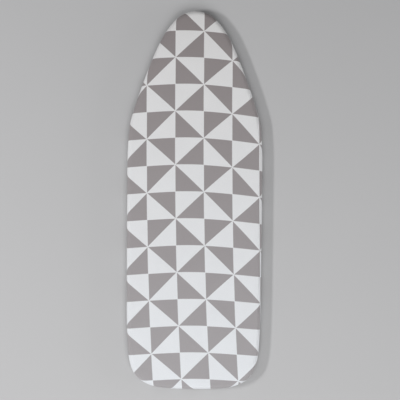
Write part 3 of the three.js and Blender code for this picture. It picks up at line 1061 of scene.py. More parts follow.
class CoverClothSettings(bpy.types.PropertyGroup):
    """Sizes and colours of the printed cotton"""

    cloth_thickness: length("Cloth thickness", "Thickness of the cotton", 0.6 * MM)
    face_softness: length("Face softness", "Depth of the slow waves in the padded face", 0.42 * MM)
    square_width: length("Square width", "Width of one patchwork square", 92.45 * MM)
    square_length: length("Square length", "Length of one patchwork square", 87.36 * MM)
    print_start_x: offset("Print start across", "Where the first column starts", -154.4 * MM)
    print_start_y: offset("Print start along", "Where the first row starts", 289.8 * MM)
    print_bow: length("Print bow", "How far the drawn-tight cloth bends its rows", 20 * MM)
    print_pull: length("Print pull", "How far the right edge is drawn over", 5.8 * MM)
    # The colours at the heel are paler and bluer than those at the nose: painted light, which the print
    # blends along the cover
    print_white: colour("Print white", "Unprinted cotton at the nose", 218, 217, 217)
    print_white_heel: colour("Print white at heel", "Unprinted cotton at the heel", 217, 220, 224)
    print_grey: colour("Print grey", "Printed triangles at the nose", 138, 131, 131)
    print_grey_heel: colour("Print grey at heel", "Printed triangles at the heel", 158, 155, 157)


class PadAndHemSettings(bpy.types.PropertyGroup):
    """Sizes and colours of the pad, hem, cord and straps"""

    stitch_length: length("Stitch length", "Length of one stitch", 2.5 * MM)
    stitch_pitch: length("Stitch pitch", "From one stitch to the next", 3.2 * MM)
    thread_thickness: length("Thread thickness", "Thickness of the sewing thread", 0.45 * MM)
    foam_colour: colour("Foam", "Foam sheet", 236, 230, 212)
    felt_colour: colour("Felt", "Felt pad", 158, 157, 154)
    felt_dark: colour("Dark fibres", "Dark fibres in the felt", 78, 80, 86)
    felt_pale: colour("Pale fibres", "Pale fibres in the felt", 206, 203, 196)
    tape_colour: colour("Cotton tape", "Hem casing", 226, 225, 221)
    thread_colour: colour("Thread", "Sewing thread", 228, 227, 223)
    cord_colour: colour("Cord", "Drawcord", 236, 235, 231)
    tip_colour: colour("Cord tips", "Moulded tips of the cord", 214, 214, 211)
    lock_colour: colour("Cord lock", "Moulded cord lock", 112, 113, 115)
    elastic_colour: colour("Elastic", "Cross straps", 226, 224, 219)
    hook_colour: colour("Hook tape", "Nylon hook tape", 206, 205, 201)
    loop_colour: colour("Loop tape", "Nylon loop tape", 214, 212, 207)
    label_colour: colour("Label", "Blank sewn label", 238, 236, 231)


class StageSettings(bpy.types.PropertyGroup):
    """Floor, light and camera"""

    floor_colour: colour("Floor", "Plain studio floor", 184, 184, 185)
    backdrop_colour: colour("Backdrop", "What the floor fades into", 187, 187, 188)
    frame_width: length("Frame width", "What the picture takes in at the face", 1.2972)
    camera_height: length("Camera height", "Camera above the face", 4.7)
    camera_x: offset("Camera across", "Camera to the right of the middle", 0.0178)
    camera_y: offset("Camera along", "Camera towards the nose", 0.0003)
    camera_roll: bpy.props.FloatProperty(
        name="Camera roll", description="Turn of the camera about its own line of sight",
        default=float(np.radians(0.5)), subtype="ANGLE", unit="ROTATION")


# pieces


class COVER_OT_cloth(bpy.types.Operator):
    """Printed cotton, drawn over the board's edge and gathered at the hem"""

    bl_idname = "ironing_cover.cloth"
    bl_label = "Printed Cloth"

    def execute(self, context):
        settings = context.scene.cover_cloth
        turn = stations(CLOTH_STATIONS, CLOTH_CROWDING)
        points, course = edge(turn)
        normal = outward(course)
        full, fold = fullness(turn), 1 - gathers(turn)
        tuck = RIM_TUCK * from_least(LEAST_TUCK, full) * fold
        rows, flat = [], []
        for reach in FACE_ROWS:
            place = points - normal * (TOP_ROUND + reach)
            pulled = tuck * np.exp(-reach / PULL_FADE)
            rows.append(placed(*place.T, TOP_Z - settings.face_softness * softness(*place.T) - pulled))
            flat.append(place)

        def arc(radius, centre_z, bends, start):
            """Rows of a rounding: in by radius times one less the cosine, up by radius
            times the sine. The cut cloth goes on by the arc's length."""
            for bend in bends:
                low = -np.sin(bend)
                crease = SIDE_CREASE * full * fold * ease(low, -0.5, 0.9) + tuck * ease(low, -1, 0)
                place = points - normal * (radius * (1 - np.cos(bend)) + crease)[:, None]
                soft = settings.face_softness * softness(*place.T) + tuck
                rows.append(placed(*place.T, centre_z - radius * low - soft * max(-low, 0) ** 2))
                flat.append(points + normal * (start + radius * (bends[0] - bend)))

        quarter = np.pi / 2
        side = TOP_ROUND * (quarter - 1)
        arc(TOP_ROUND, TOP_ARC_Z, np.linspace(quarter, 0, TOP_ROWS), -TOP_ROUND)
        low = side + TOP_ARC_Z - UNDER_ARC_Z
        arc(UNDER_ROUND, UNDER_ARC_Z, np.linspace(0, -quarter, UNDER_ROWS), low)
        turned = low + UNDER_ROUND * quarter
        for share in np.linspace(0, 1, TURNED_ROWS)[1:]:
            rows.append(flange(turn, np.full(len(turn), share)))
            flat.append(points + normal * (turned + share * flange_length(turn))[:, None])
        rows, flat = np.array(rows), np.array(flat)
        count = len(turn)
        first = len(rows) * count
        inner, inner_faces = panel(rows[0], first, 0, FACE_RINGS)
        inner[:, 2] = TOP_Z - settings.face_softness * softness(inner[:, 0], inner[:, 1])
        every_point = np.concatenate((rows.reshape(-1, 3), inner))
        flat_map = np.concatenate((flat.reshape(-1, 2), inner[:, :2]))
        faces = ring_faces(len(rows), count).tolist() + inner_faces
        finishes = (printed_cotton(settings), cotton_back(settings))
        piece = make("cover_cloth", every_point, faces, finishes, "root", ["printed_cover"],
                     "printed_cotton", flat_map)
        wall = piece.modifiers.new("Cotton thickness", "SOLIDIFY")
        wall.thickness = settings.cloth_thickness
        wall.offset = -1
        wall.material_offset = 1
        rim = flat[-1]
        size = rim.max(0) - rim.min(0)
        return {"FINISHED"}


def pad_rows(low, high, turn, relief):
    """Rows of a pad layer from its upper face round its edge to its lower face. The edge
    lies inside the cotton's rounding: in by the rounding's radius times one less the
    cosine, at the angle whose sine is the height's share of the radius."""
    points, course = edge(turn)
    normal = outward(course)
    rows = []
    lip = min(PAD_LIP, (high - low) / 4)
    heights = [high, high - 0.25 * lip, high - lip, (high + low) / 2, low + lip, low + 0.25 * lip, low]
    insets = [lip, 0.3 * lip, 0, 0, 0, 0.3 * lip, lip]
    for height, inset in zip(heights, insets):
        sine = np.clip((height - TOP_ARC_Z) / PAD_ROUND, 0, 1)
        wave = np.sin(TAU * PAD_WAVES * hem_travel(turn) + PAD_WAVE_LEAN * height)
        reach = PAD_INSET + PAD_ROUND * (1 - np.sqrt(1 - sine * sine)) + inset + relief * wave
        rows.append(placed(*(points - normal * reach[:, None]).T, height))
    return np.array(rows)


def pad_layer(name, node, finish, slot, relief, dimples):
    """A closed sheet that fills the height of its CAD node, with waves in its edge and
    soft dimples in both faces."""
    low, high = corners_of(node)[:, 2]
    turn = stations(PAD_STATIONS, PAD_CROWDING)
    rows = pad_rows(low, high, turn, relief)
    count, last = len(turn), (len(rows) - 1) * len(turn)
    first = len(rows) * count
    above, above_faces = panel(rows[0], first, 0, PAD_RINGS)
    below, below_faces = panel(rows[-1], first + len(above), last, PAD_RINGS)
    above[:, 2] -= dimples * softness(4 * above[:, 0], 5 * above[:, 1])
    below[:, 2] += dimples * softness(5 * below[:, 0], 4 * below[:, 1])
    points = np.concatenate((rows.reshape(-1, 3), above, below))
    faces = ring_faces(len(rows), count).tolist() + above_faces + [f[::-1] for f in below_faces]
    piece = make(name, points, faces, [finish], "root", [node], slot)


class COVER_OT_pads(bpy.types.Operator):
    """Foam sheet and felt pad between the cotton and the board"""

    bl_idname = "ironing_cover.pads"
    bl_label = "Foam and Felt"

    def execute(self, context):
        settings = context.scene.cover_hem
        pad_layer("foam_sheet", "foam_layer", open_foam(settings), "foam",
                  relief=0.1 * MM, dimples=0.08 * MM)
        pad_layer("felt_sheet", "felt_pad", needled_felt(settings), "felt",
                  relief=0.3 * MM, dimples=0.25 * MM)
        return {"FINISHED"}


def casing_length(start, end):
    """One length of ruched tape casing, and the seam allowance that lies under the cloth.
    The casing is a tube whose section is between an ellipse and a rectangle: powers of
    0.8 of the cosine and sine. Slanting wrinkles draw it in by up to a fifth. Its bore is
    plain. The allowance is a thin strip that follows the gathered cloth."""
    fine = start + (end - start) * np.linspace(0, 1, 4001)
    total = steps_of(hem(fine)[0]).sum()
    angle = angles(CASING_SIDES, 0.5)
    waves = placed(np.cos(angle), np.sin(angle))
    section = np.sign(waves) * np.abs(waves) ** CASING_POWER

    def frame_along(spacing):
        """Parameters, path, and unit vectors out and up, at even steps of this length."""
        turn = start + (end - start) * np.linspace(0, 1, int(total / spacing))
        points, course = hem(turn)
        path, out = placed(*points.T, CASING_Z), placed(*outward(course).T, 0)
        return turn, path, out, np.broadcast_to((0, 0, 1.0), path.shape)

    turn, path, out, up = frame_along(CASING_STEP)
    travelled = hem_travel(turn)[:, None] * HEM_LENGTH
    deep = from_least(LEAST_WRINKLE, fullness(turn)[:, None])
    drawn = 1
    for depth, long, slant, turns, first, sway, quick in CASING_WRINKLES:
        wave = slant * np.sin(turns * angle + first) + sway * np.sin(travelled * quick)
        drawn = drawn - deep * depth * swing(travelled * (TAU / long) + wave)
    full_size = (CASING_HALF_WIDTH, CASING_HALF_HEIGHT)
    outer = tube(path, out, up, section * full_size * drawn[..., None])
    _, bore_path, bore_out, bore_up = frame_along(BORE_STEP)
    bore = tube(bore_path, bore_out, bore_up, section * CASING_BORE)
    count, inner = len(outer), len(bore)
    skin = grid_faces(count, CASING_SIDES, round_columns=True)
    lining = grid_faces(inner, CASING_SIDES, round_columns=True)[:, ::-1] + count * CASING_SIDES
    around = np.arange(CASING_SIDES)
    after = (around + 1) % CASING_SIDES
    rims = []
    for ring, bore_ring in ((0, count), (count - 1, count + inner - 1)):
        a, b = ring * CASING_SIDES, bore_ring * CASING_SIDES
        rims.append(np.stack((a + around, a + after, b + after, b + around), axis=-1))
    channel = (np.concatenate((outer, bore)), np.concatenate((skin, lining, *rims)))
    bore_travel = np.linspace(travelled[0], travelled[-1], inner)
    flat = [placed(along, angle * TAPE_ROUND) for along in (travelled, bore_travel)]

    turn, *_ = frame_along(ALLOWANCE_STEP)
    travelled = hem_travel(turn)[:, None] * HEM_LENGTH
    reach = np.linspace(ALLOWANCE_START, TAPE_EDGE, ALLOWANCE_ROWS)
    strips = [flange(turn, 1 - place / flange_length(turn)) - (0, 0, LAYER_GAP) for place in reach]
    below = [strip - (0, 0, TAPE_THICKNESS) for strip in strips]
    strip = np.stack(strips + below[::-1], axis=1)
    both = np.concatenate((reach, reach[::-1]))
    flat.append(placed(travelled, both))
    mesh = joined(channel, (strip, capped(len(turn), len(both))))
    return (*mesh, np.concatenate([part.reshape(-1, 2) for part in flat]))


class COVER_OT_casing(bpy.types.Operator):
    """Ruched tape casing round the hem, in the lengths it is sewn from"""

    bl_idname = "ironing_cover.casing"
    bl_label = "Hem Casing"

    def execute(self, context):
        finish = cotton_tape(context.scene.cover_hem)
        half = JOIN_GAP / 2
        lengths = [("heel", mouth_turn(), turn_at(HEEL_JOIN - half)),
                   ("side", turn_at(HEEL_JOIN + half), turn_at(STRAP_JOIN - half)),
                   ("shoulder", turn_at(STRAP_JOIN + half), turn_at(NOSE_JOIN - half))]
        spans = [("nose", turn_at(NOSE_JOIN + half), 1 - turn_at(NOSE_JOIN + half))]
        for place, start, end in lengths:
            spans += [(f"{place}_right", start, end), (f"{place}_left", 1 - end, 1 - start)]
        for place, start, end in spans:
            points, faces, flat = casing_length(start, end)
            turned_out(make(f"tape_{place}", points, faces, [finish], "root", [f"casing_{place}"],
                            "cotton_tape", flat))
        return {"FINISHED"}


class COVER_OT_hem_stitching(bpy.types.Operator):
    """Lockstitch row that holds the casing to the cloth"""

    bl_idname = "ironing_cover.hem_stitching"
    bl_label = "Hem Stitching"

    def execute(self, context):
        settings = context.scene.cover_hem
        start = mouth_turn()
        fine = np.linspace(start, 1 - start, 8001)
        share = 1 - HEM_STITCH_LINE / flange_length(fine)
        depth = LAYER_GAP + TAPE_THICKNESS + HEM_STITCH_STAND * settings.thread_thickness
        line = flange(fine, share) - (0, 0, depth)
        travelled = totals(steps_of(line))
        places = np.arange(HEM_STITCH_END, travelled[-1] - HEM_STITCH_END, settings.stitch_pitch)
        centres = placed(*(np.interp(places, travelled, reached) for reached in line.T))
        ways = unit(placed(*(np.interp(places, travelled, way) for way in courses(line).T)))
        down = np.array((0, 0, -1.0))
        ups = unit(down - ways * np.sum(down * ways, axis=1, keepdims=True))
        points, faces = stitches(centres, ways, ups, settings.stitch_length, settings.thread_thickness)
        turned_out(make("hem_stitching", points, faces, [sewing_thread(settings)], "root", (),
                        "cotton_tape"))
        return {"FINISHED"}


def cord_path():
    """Centre line of the drawcord: from the right tip back through the lock, round its
    bend into the casing, round the hem and out again on the left."""
    tip = placed(TIP_X, np.linspace(CORD_END, TIP_Y, TIP_POINTS)[:-1], TIP_Z)
    spread = np.linspace(1, 0, SPREAD_POINTS)
    eased = ease(spread, 0, 1)
    tail = placed(TAIL_X + (TIP_X - TAIL_X) * eased,
                  TAIL_SPREAD_START + (TIP_Y - TAIL_SPREAD_START) * spread,
                  LOCK_Z + (TIP_Z - LOCK_Z) * eased)
    straight = placed(TAIL_X, np.linspace(TAIL_SPREAD_START, TAIL_START, STRAIGHT_POINTS)[1:], LOCK_Z)
    angle = np.linspace(np.pi / 2, 0, BEND_POINTS)[1:]
    rise = (1 - np.cos(angle)) / 2 + angle / np.pi
    bend = placed(TAIL_X + TAIL_BEND * (1 - np.sin(angle)), TAIL_START - TAIL_BEND * np.cos(angle),
                  CASING_Z + (LOCK_Z - CASING_Z) * rise)
    turn = np.linspace(mouth_turn(), 1 - mouth_turn(), HEM_POINTS)
    inside = placed(*hem(turn)[0].T, CASING_Z)
    gap = np.linspace(bend[-1], inside[0], GAP_POINTS)[1:-1]
    right = np.concatenate((tip, tail, straight, bend, gap))
    return np.concatenate((right, inside, right[::-1] * (-1, 1, 1)))


class COVER_OT_drawcord(bpy.types.Operator):
    """Braided drawcord, one cord from tip to tip"""

    bl_idname = "ironing_cover.drawcord"
    bl_label = "Drawcord"

    def execute(self, context):
        settings = context.scene.cover_hem
        path = cord_path()
        course = courses(path)
        across = unit(np.cross(course, (0, 0, 1)))
        travelled = totals(steps_of(path))[:, None]
        radius = CORD_RADIUS * (1 - BRAID_DEPTH * self.hollows(travelled))
        points = tube(path, across, np.cross(across, course), radius[..., None] * round_section(CORD_SIDES))
        flat = placed(angles(CORD_SIDES), travelled).reshape(-1, 2)
        piece = turned_out(make("cord", points, capped(len(path), CORD_SIDES), [braided_cord(settings)],
                                "root", ["drawcord"], "braided_cord", flat))
        return {"FINISHED"}

    def hollows(self, travelled):
        """How deep the braid's surface lies, from 0 on a yarn to 1 between yarns, where
        the cord shows. Yarns wind both ways, each as the square of a cosine of the angle
        and the length travelled, and pass over and under in turn."""
        around, along = BRAID_WAVES * angles(CORD_SIDES), travelled * (TAU / BRAID_PITCH)
        left, right = around + along, around - along
        over = 0.5 + 0.35 * np.sin(left + right) * np.sin(left - right)
        braid = np.maximum(np.cos(left) ** 2 * over, np.cos(right) ** 2 * (1 - over)) / 0.85
        from_end = np.minimum(travelled, travelled[-1] - travelled)
        return (1 - ease(from_end, BRAID_SHOWN, BRAID_FADED)) * (1 - braid)


def revolved(profile, sides):
    """A profile of radius and height turned round: radius times cosine and sine of the
    angle, with the height along the axis."""
    angle = angles(sides)
    radius, height = np.asarray(profile, float).T[..., None]
    points = placed(radius * np.cos(angle), height, radius * np.sin(angle))
    return points, grid_faces(len(radius), sides, round_columns=True)


class COVER_OT_tips(bpy.types.Operator):
    """Moulded tips on the two ends of the cord"""

    bl_idname = "ironing_cover.tips"
    bl_label = "Cord Tips"

    def execute(self, context):
        settings = context.scene.cover_hem
        finish = moulded_plastic("Pale plastic", settings.tip_colour, roughness=0.42)
        points, faces = revolved(np.array(self.profile()) * MM, TIP_SIDES)
        for side, name in ((1, "right"), (-1, "left")):
            turned_out(make(f"tip_{name}", points + (side * TIP_X, TIP_Y, TIP_Z), faces, [finish],
                            "root", [f"cord_tip_{name}"], "pale_plastic", angle=40))
        return {"FINISHED"}

    def profile(self):
        """Radius and height in millimetres from the bottom of the bore out over its
        mouth, along the grooved body and round to the dimple in the far end."""
        body, groove, cap_start, cap_round = 2.6, 2.4, 10.6, 1.4
        profile = [(0, 9), (1.5, 9), (1.78, 8.8), (1.8, 8.4), (1.8, 0.35), (1.95, 0.08), (2.2, 0),
                   (2.45, 0.08), (body, 0.4)]
        for start in (1.5, 2.9, 4.3):
            profile += [(body, start), (groove, start + 0.2), (groove, start + 0.6), (body, start + 0.8)]
        for bend in np.linspace(0, np.pi / 2, 8):
            profile.append((body - cap_round * (1 - np.cos(bend)), cap_start + cap_round * np.sin(bend)))
        return profile + [(0.5, 12), (0.35, 11.85), (0, 11.8)]


def smoothed_copy(name, node, body, slot, finish):
    """A new piece with the merged mesh of a CAD node, its edges softened by a bevel."""
    work = bmesh.new()
    work.from_mesh(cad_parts[node].data)
    bmesh.ops.remove_doubles(work, verts=work.verts, dist=1e-6)
    bmesh.ops.dissolve_limit(work, angle_limit=np.radians(1), verts=work.verts, edges=work.edges)
    mesh = bpy.data.meshes.new(name)
    work.to_mesh(mesh)
    work.free()
    piece = finished(name, mesh, [finish], body, [node], slot, SHARP_ANGLE)
    edge_round = piece.modifiers.new("Softened edges", "BEVEL")
    edge_round.width = SOFTENED_EDGE
    edge_round.segments = 2
    edge_round.limit_method = "ANGLE"
    edge_round.angle_limit = np.radians(SHARP_ANGLE)


class COVER_OT_lock(bpy.types.Operator):
    """Cord lock: moulded barrel and its sprung plunger"""

    bl_idname = "ironing_cover.lock"
    bl_label = "Cord Lock"

    def execute(self, context):
        settings = context.scene.cover_hem
        finish = moulded_plastic("Grey plastic", settings.lock_colour, roughness=0.46)
        smoothed_copy("lock_barrel", "cord_lock_barrel", "cord_lock", "grey_plastic", finish)
        smoothed_copy("lock_plunger", "cord_lock_plunger", "lock_plunger", "grey_plastic", finish)
        self.ribs(finish)
        self.spring()
        return {"FINISHED"}

    def ribs(self, finish):
        """Grip ribs round the barrel's closed end. Each is a low crest carried round the
        barrel's round-ended outline: half the height and the crest's height, times the
        cosine and sine, from the centre of each round end."""
        low, high = corners_of("cord_lock_barrel")
        centre, rounding = (low + high) / 2, (high[2] - low[2]) / 2
        half = (high - low) / 2 - rounding
        angle = angles(RIB_SIDES, 0.5)
        radius = rounding + RIB_CREST[:, 1:]
        y = centre[1] + np.sign(np.cos(angle)) * half[1] + radius * np.cos(angle)
        z = centre[2] + radius * np.sin(angle)
        starts = low[0] + RIB_START + RIB_PITCH * np.arange(RIB_COUNT)
        x = starts[:, None, None] + RIB_CREST[:, :1]
        points = placed(x, y, z)
        one = grid_faces(len(RIB_CREST), RIB_SIDES, round_rows=True, round_columns=True)
        faces = repeated(one.tolist(), RIB_COUNT, len(RIB_CREST) * RIB_SIDES)
        turned_out(make("lock_ribs", points, faces, [finish], "cord_lock", (), "grey_plastic", angle=50))

    def spring(self):
        """Round wire carried along a helix round the plunger's axis, which climbs less
        near its two ends."""
        low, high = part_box("cord_lock_spring")
        centre_y, centre_z = (low[1] + high[1]) / 2, (low[2] + high[2]) / 2
        length_now = high[0] - low[0]
        radius = (high[1] - low[1]) / 2 - SPRING_WIRE
        share = np.linspace(0, 1, SPRING_TURNS * SPRING_STEPS + 1)
        angle = TAU * SPRING_TURNS * share
        climb = ease(share, *SPRING_ENDS) * (1 - SPRING_EVEN) + share * SPRING_EVEN
        across = placed(0, np.cos(angle), np.sin(angle))
        path = (0, centre_y, centre_z) + radius * across
        path[:, 0] = low[0] + SPRING_WIRE + (length_now - 2 * SPRING_WIRE) * climb
        up = np.cross(courses(path), across)
        points = tube(path, across, up, SPRING_WIRE * round_section(SPRING_SIDES))
        piece = turned_out(make("lock_spring", points, capped(len(path), SPRING_SIDES),
                                [spring_steel()], "cord_lock", ["cord_lock_spring"], "spring_steel"))
        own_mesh(piece)


def band_mesh(low, high, ribs, wave):
    """A flat woven band between two corners of its box. Its section is a rounded
    rectangle with shallow ribs along the band, and it waves a little in height."""
    steps = int((high[0] - low[0]) / BAND_STEP)
    x = np.linspace(low[0], high[0], steps)
    half_width, half_height = (high[1] - low[1]) / 2, (high[2] - low[2]) / 2
    across = np.linspace(-1, 1, BAND_POINTS)
    ribbed = 1 - BAND_RIB_DEPTH * (0.5 + 0.5 * np.cos(np.pi * ribs * across))
    upper = placed(across, ribbed * (1 - np.abs(across) ** 16) ** 0.5)
    section = np.concatenate((upper, upper[-2:0:-1] * (1, -1)))
    section = section * (half_width, half_height - abs(wave))
    level = (low[2] + high[2]) / 2 + wave * np.sin((x - low[0]) * TAU / STRAP_WAVE + 0.6)
    path = placed(x, (low[1] + high[1]) / 2, level)
    side = np.broadcast_to((0, 1.0, 0), path.shape)
    up = np.broadcast_to((0, 0, 1.0), path.shape)
    scallop = 1 - SCALLOP_DEPTH * swing(x * TAU / SCALLOP_LENGTH)
    points = tube(path, side, up, section * placed(scallop, 1)[:, None])
    flat = placed(x[:, None], section[:, 0]).reshape(-1, 2)
    return points, capped(steps, len(section)), flat


def casing_side(y):
    """How far the casing's inner side, less its seam gap, lies from the middle at y."""
    fine = np.linspace(0.01, 0.5, 8001)
    points = hem(fine)[0]
    return np.interp(y, points[:, 1], points[:, 0]) - CASING_HALF_WIDTH - SEAM_GAP


def met_casing(points, outer):
    """Moves a strap's points beyond STRAP_FIXED from the middle in even shares, so that
    its outer end, from its box, lies along the casing's side."""
    x, y, z = np.moveaxis(points, -1, 0)
    beyond = np.maximum(np.abs(x) - STRAP_FIXED, 0)
    grown = beyond * (casing_side(y) - outer) / (outer - STRAP_FIXED)
    ends_there = np.sign(x) == (1 if x[-1].max() > outer - MM else -1)
    return placed(x + np.sign(x) * grown * ends_there, y, z)


class COVER_OT_straps(bpy.types.Operator):
    """Elastic halves of the two cross straps"""

    bl_idname = "ironing_cover.straps"
    bl_label = "Elastic Straps"

    def execute(self, context):
        finish = woven_elastic(context.scene.cover_hem)
        for place in ("front", "rear"):
            for side in ("left", "right"):
                node = f"{place}_strap_{side}"
                low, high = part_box(node)
                points, faces, flat = band_mesh(low, high, STRAP_RIBS, STRAP_WAVE_HEIGHT)
                points = met_casing(points, max(abs(low[0]), abs(high[0])))
                turned_out(make(f"{place}_elastic_{side}", points, faces, [finish], "root", [node],
                                "elastic", flat, angle=50))
        return {"FINISHED"}


class COVER_OT_tapes(bpy.types.Operator):
    """Hook and loop tapes that close the straps"""

    bl_idname = "ironing_cover.tapes"
    bl_label = "Hook and Loop Tapes"

    def execute(self, context):
        settings = context.scene.cover_hem
        hooks = nylon_tape("Hook nylon", settings.hook_colour, roughness=0.65, scale=900)
        loops = nylon_tape("Loop nylon", settings.loop_colour, roughness=1.0, scale=1600)
        for place in ("front", "rear"):
            for kind, finish, slot in (("hook", hooks, "hook_nylon"), ("loop", loops, "loop_nylon")):
                node = f"{place}_strap_{kind}_tape"
                low, high = corners_of(node)
                ground_low, ground_high = low.copy(), high.copy()
                if kind == "hook":
                    ground_high[2] = low[2] + GROUND_THICKNESS
                else:
                    ground_low[2] = high[2] - GROUND_THICKNESS
                ground, ground_faces, _ = band_mesh(ground_low, ground_high, GROUND_RIBS, 0)
                points, faces = joined((ground, ground_faces), self.pile(kind, low, high))
                turned_out(make(f"{place}_{kind}_tape", points, faces, [finish], "root", [node], slot))
        return {"FINISHED"}

    def pile(self, kind, low, high):
        """Rows of hooks or of small loops, each a thin tube along a path. A hook goes up
        straight and then over by one less the cosine and up by the sine, like a crook,
        and a loop does so from its root, at an angle and a height of its own."""
        hook = kind == "hook"
        pitch = HOOK_PITCH if hook else LOOP_PITCH
        x, y = (np.arange(low[k] + PILE_START[k], high[k] - PILE_END[k], pitch) for k in (0, 1))
        grid = placed(x[:, None], y).reshape(-1, 2)
        count = len(grid)
        chance = np.random.default_rng(7 if hook else 11)
        share = np.linspace(0, 1, PILE_STEPS)
        if hook:
            stem = share < HOOK_STEM
            bend = (share - HOOK_STEM) / (1 - HOOK_STEM) * np.pi
            height = np.full(count, HOOK_HEIGHT)
            heading = np.where(np.arange(count) % 2 == 0, 0, np.pi) + chance.normal(0, 0.12, count)
            reach = HOOK_REACH * np.where(stem, 0, 1 - np.cos(bend))
            rise = np.where(stem, share * 1.6, 0.64 + 0.3 * np.sin(bend * 0.9))
            base, upward = low[2] + PILE_ROOT, 1
        else:
            height = chance.uniform(*LOOP_HEIGHTS, count)
            heading = chance.uniform(0, TAU, count)
            reach = LOOP_REACH * (1 - np.cos(np.pi * share))
            rise = np.sin(np.pi * share)
            base, upward = high[2] - PILE_ROOT, -1
        direction = placed(np.cos(heading), np.sin(heading), 0)
        path = placed(*grid.T, base)[:, None] + direction[:, None] * reach[:, None]
        path[..., 2] += upward * rise * height[:, None]
        side_way = np.cross(direction, (0, 0, 1.0))[:, None]
        lift = np.cross(side_way, courses(path, axis=1))
        circle = PILE_WIRE * round_section(PILE_SIDES)
        points = path[:, :, None] + side_way[:, :, None] * circle[:, :1] + lift[:, :, None] * circle[:, 1:]
        faces = repeated(capped(PILE_STEPS, PILE_SIDES), count, PILE_STEPS * PILE_SIDES)
        return points.reshape(-1, 3), faces


class COVER_OT_strap_stitching(bpy.types.Operator):
    """Stitched boxes that hold the tapes, and the tacks that hold the straps to the hem"""

    bl_idname = "ironing_cover.strap_stitching"
    bl_label = "Strap Stitching"

    def execute(self, context):
        settings = context.scene.cover_hem
        parts = []
        for place in ("front", "rear"):
            for kind, strap, facing in (("hook", "left", -1), ("loop", "right", 1)):
                tape_low, tape_high = corners_of(f"{place}_strap_{kind}_tape")
                left, near = tape_low[:2] + BOX_INSET
                right, far = tape_high[:2] - BOX_INSET
                low, high = corners_of(f"{place}_strap_{strap}")
                height = low[2] if facing < 0 else high[2]
                corners = [(left, near), (right, near), (right, far), (left, far), (left, near)]
                for a, b in zip(corners[:-1], corners[1:]):
                    parts.append(self.row(settings, a, b, height, facing))
            for side, sign in (("left", -1), ("right", 1)):
                low, high = corners_of(f"{place}_strap_{side}")
                outer = low[0] if sign < 0 else high[0]
                near, far = low[1] + ROW_INSET, high[1] - ROW_INSET
                for height, facing in ((low[2], -1), (high[2], 1)):
                    for step in STRAP_ROWS:
                        x = outer - sign * step
                        parts.append(self.row(settings, (x, near), (x, far), height, facing))
                    parts.append(self.tacks(settings, sign, near, far, height, facing))
        low, high = corners_of("sewn_label_blank")
        near, far = low[1] + LABEL_ROW_INSET, high[1] - LABEL_ROW_INSET
        for height, facing in ((low[2], -1), (high[2], 1)):
            x = low[0] + LABEL_ROW
            parts.append(self.row(settings, (x, near), (x, far), height, facing))
            parts.append(self.tacks(settings, -1, near, far, height, facing))
        points, faces = joined(*parts)
        turned_out(make("strap_stitching", points, faces, [sewing_thread(settings)], "root", (), "elastic"))
        return {"FINISHED"}

    def tacks(self, settings, sign, near, far, height, facing):
        """Stitches side by side across the seam between a strap's end and the casing,
        each turned a little from the last."""
        y = np.arange(near, far, TACK_PITCH)
        x = sign * (casing_side(y) + SEAM_GAP / 2 + TACK_SHIFT)
        centres = placed(x, y, height + THREAD_STAND * facing)
        lean = np.where(np.arange(len(y)) % 2 == 0, TACK_LEAN, -TACK_LEAN)
        ways = placed(np.cos(lean), np.sin(lean), 0)
        ups = np.broadcast_to((0, 0, float(facing)), centres.shape)
        return stitches(centres, ways, ups, TACK_LENGTH, settings.thread_thickness)

    def row(self, settings, start, end, height, facing):
        """Stitches in a straight row on a level face, which looks down or up."""
        start, end = np.array((*start, height)), np.array((*end, height))
        reach = np.linalg.norm(end - start)
        count = max(2, int(reach / settings.stitch_pitch))
        centres = start + (end - start) * ((np.arange(count) + 0.5) / count)[:, None]
        ways = np.broadcast_to((end - start) / reach, centres.shape)
        ups = np.broadcast_to((0, 0, float(facing)), centres.shape)
        length_now = min(settings.stitch_length, 0.8 * reach / count)
        return stitches(centres + ups * THREAD_STAND, ways, ups, length_now, settings.thread_thickness)


class COVER_OT_label(bpy.types.Operator):
    """Blank satin label, folded double and sewn into the hem"""

    bl_idname = "ironing_cover.label"
    bl_label = "Blank Label"

    def execute(self, context):
        settings = context.scene.cover_hem
        low, high = corners_of("sewn_label_blank")
        middle = (low + high) / 2
        # Two faces, a ply above and below the middle, close at the fold along a quarter of an
        # ellipse. A sine makes the droop uneven across, and half a sine lifts the middle.
        share = np.linspace(0, 1, LABEL_STEPS)
        along = np.concatenate((share, share[::-1]))[:, None]
        face = np.repeat((1.0, -1.0), LABEL_STEPS)[:, None]
        thinned = ((along - LABEL_FOLD) / (1 - LABEL_FOLD)).clip(0)
        bend = np.sqrt(np.clip(1 - thinned ** 2, 0, 1))
        y = np.linspace(low[1], high[1], LABEL_COLUMNS)
        start = -casing_side(y)
        x = start + (high[0] - start) * along
        droop = LABEL_DROOP * ease(along, 0.1, 1.1) * (1 + 0.5 * np.sin((y - low[1]) * LABEL_RIPPLE))
        cup = LABEL_CUP * np.sin((y - low[1]) / (high[1] - low[1]) * np.pi) * ease(along, 0, 0.6)
        points = placed(x, y, middle[2] - droop + cup + face * bend * LABEL_PLY)
        near = np.arange(LABEL_STEPS - 1)
        far = 2 * LABEL_STEPS - 1 - near
        side = np.stack((near, near + 1, far - 1, far), axis=-1) * LABEL_COLUMNS
        around = grid_faces(2 * LABEL_STEPS, LABEL_COLUMNS, round_rows=True)
        faces = np.concatenate((around, side, side + LABEL_COLUMNS - 1))
        flat = placed(x, y - middle[1]).reshape(-1, 2)
        turned_out(make("blank_label", points, faces, [woven_satin(settings)], "root",
                        ["sewn_label_blank"], "satin", flat, angle=60))
        return {"FINISHED"}


# stage


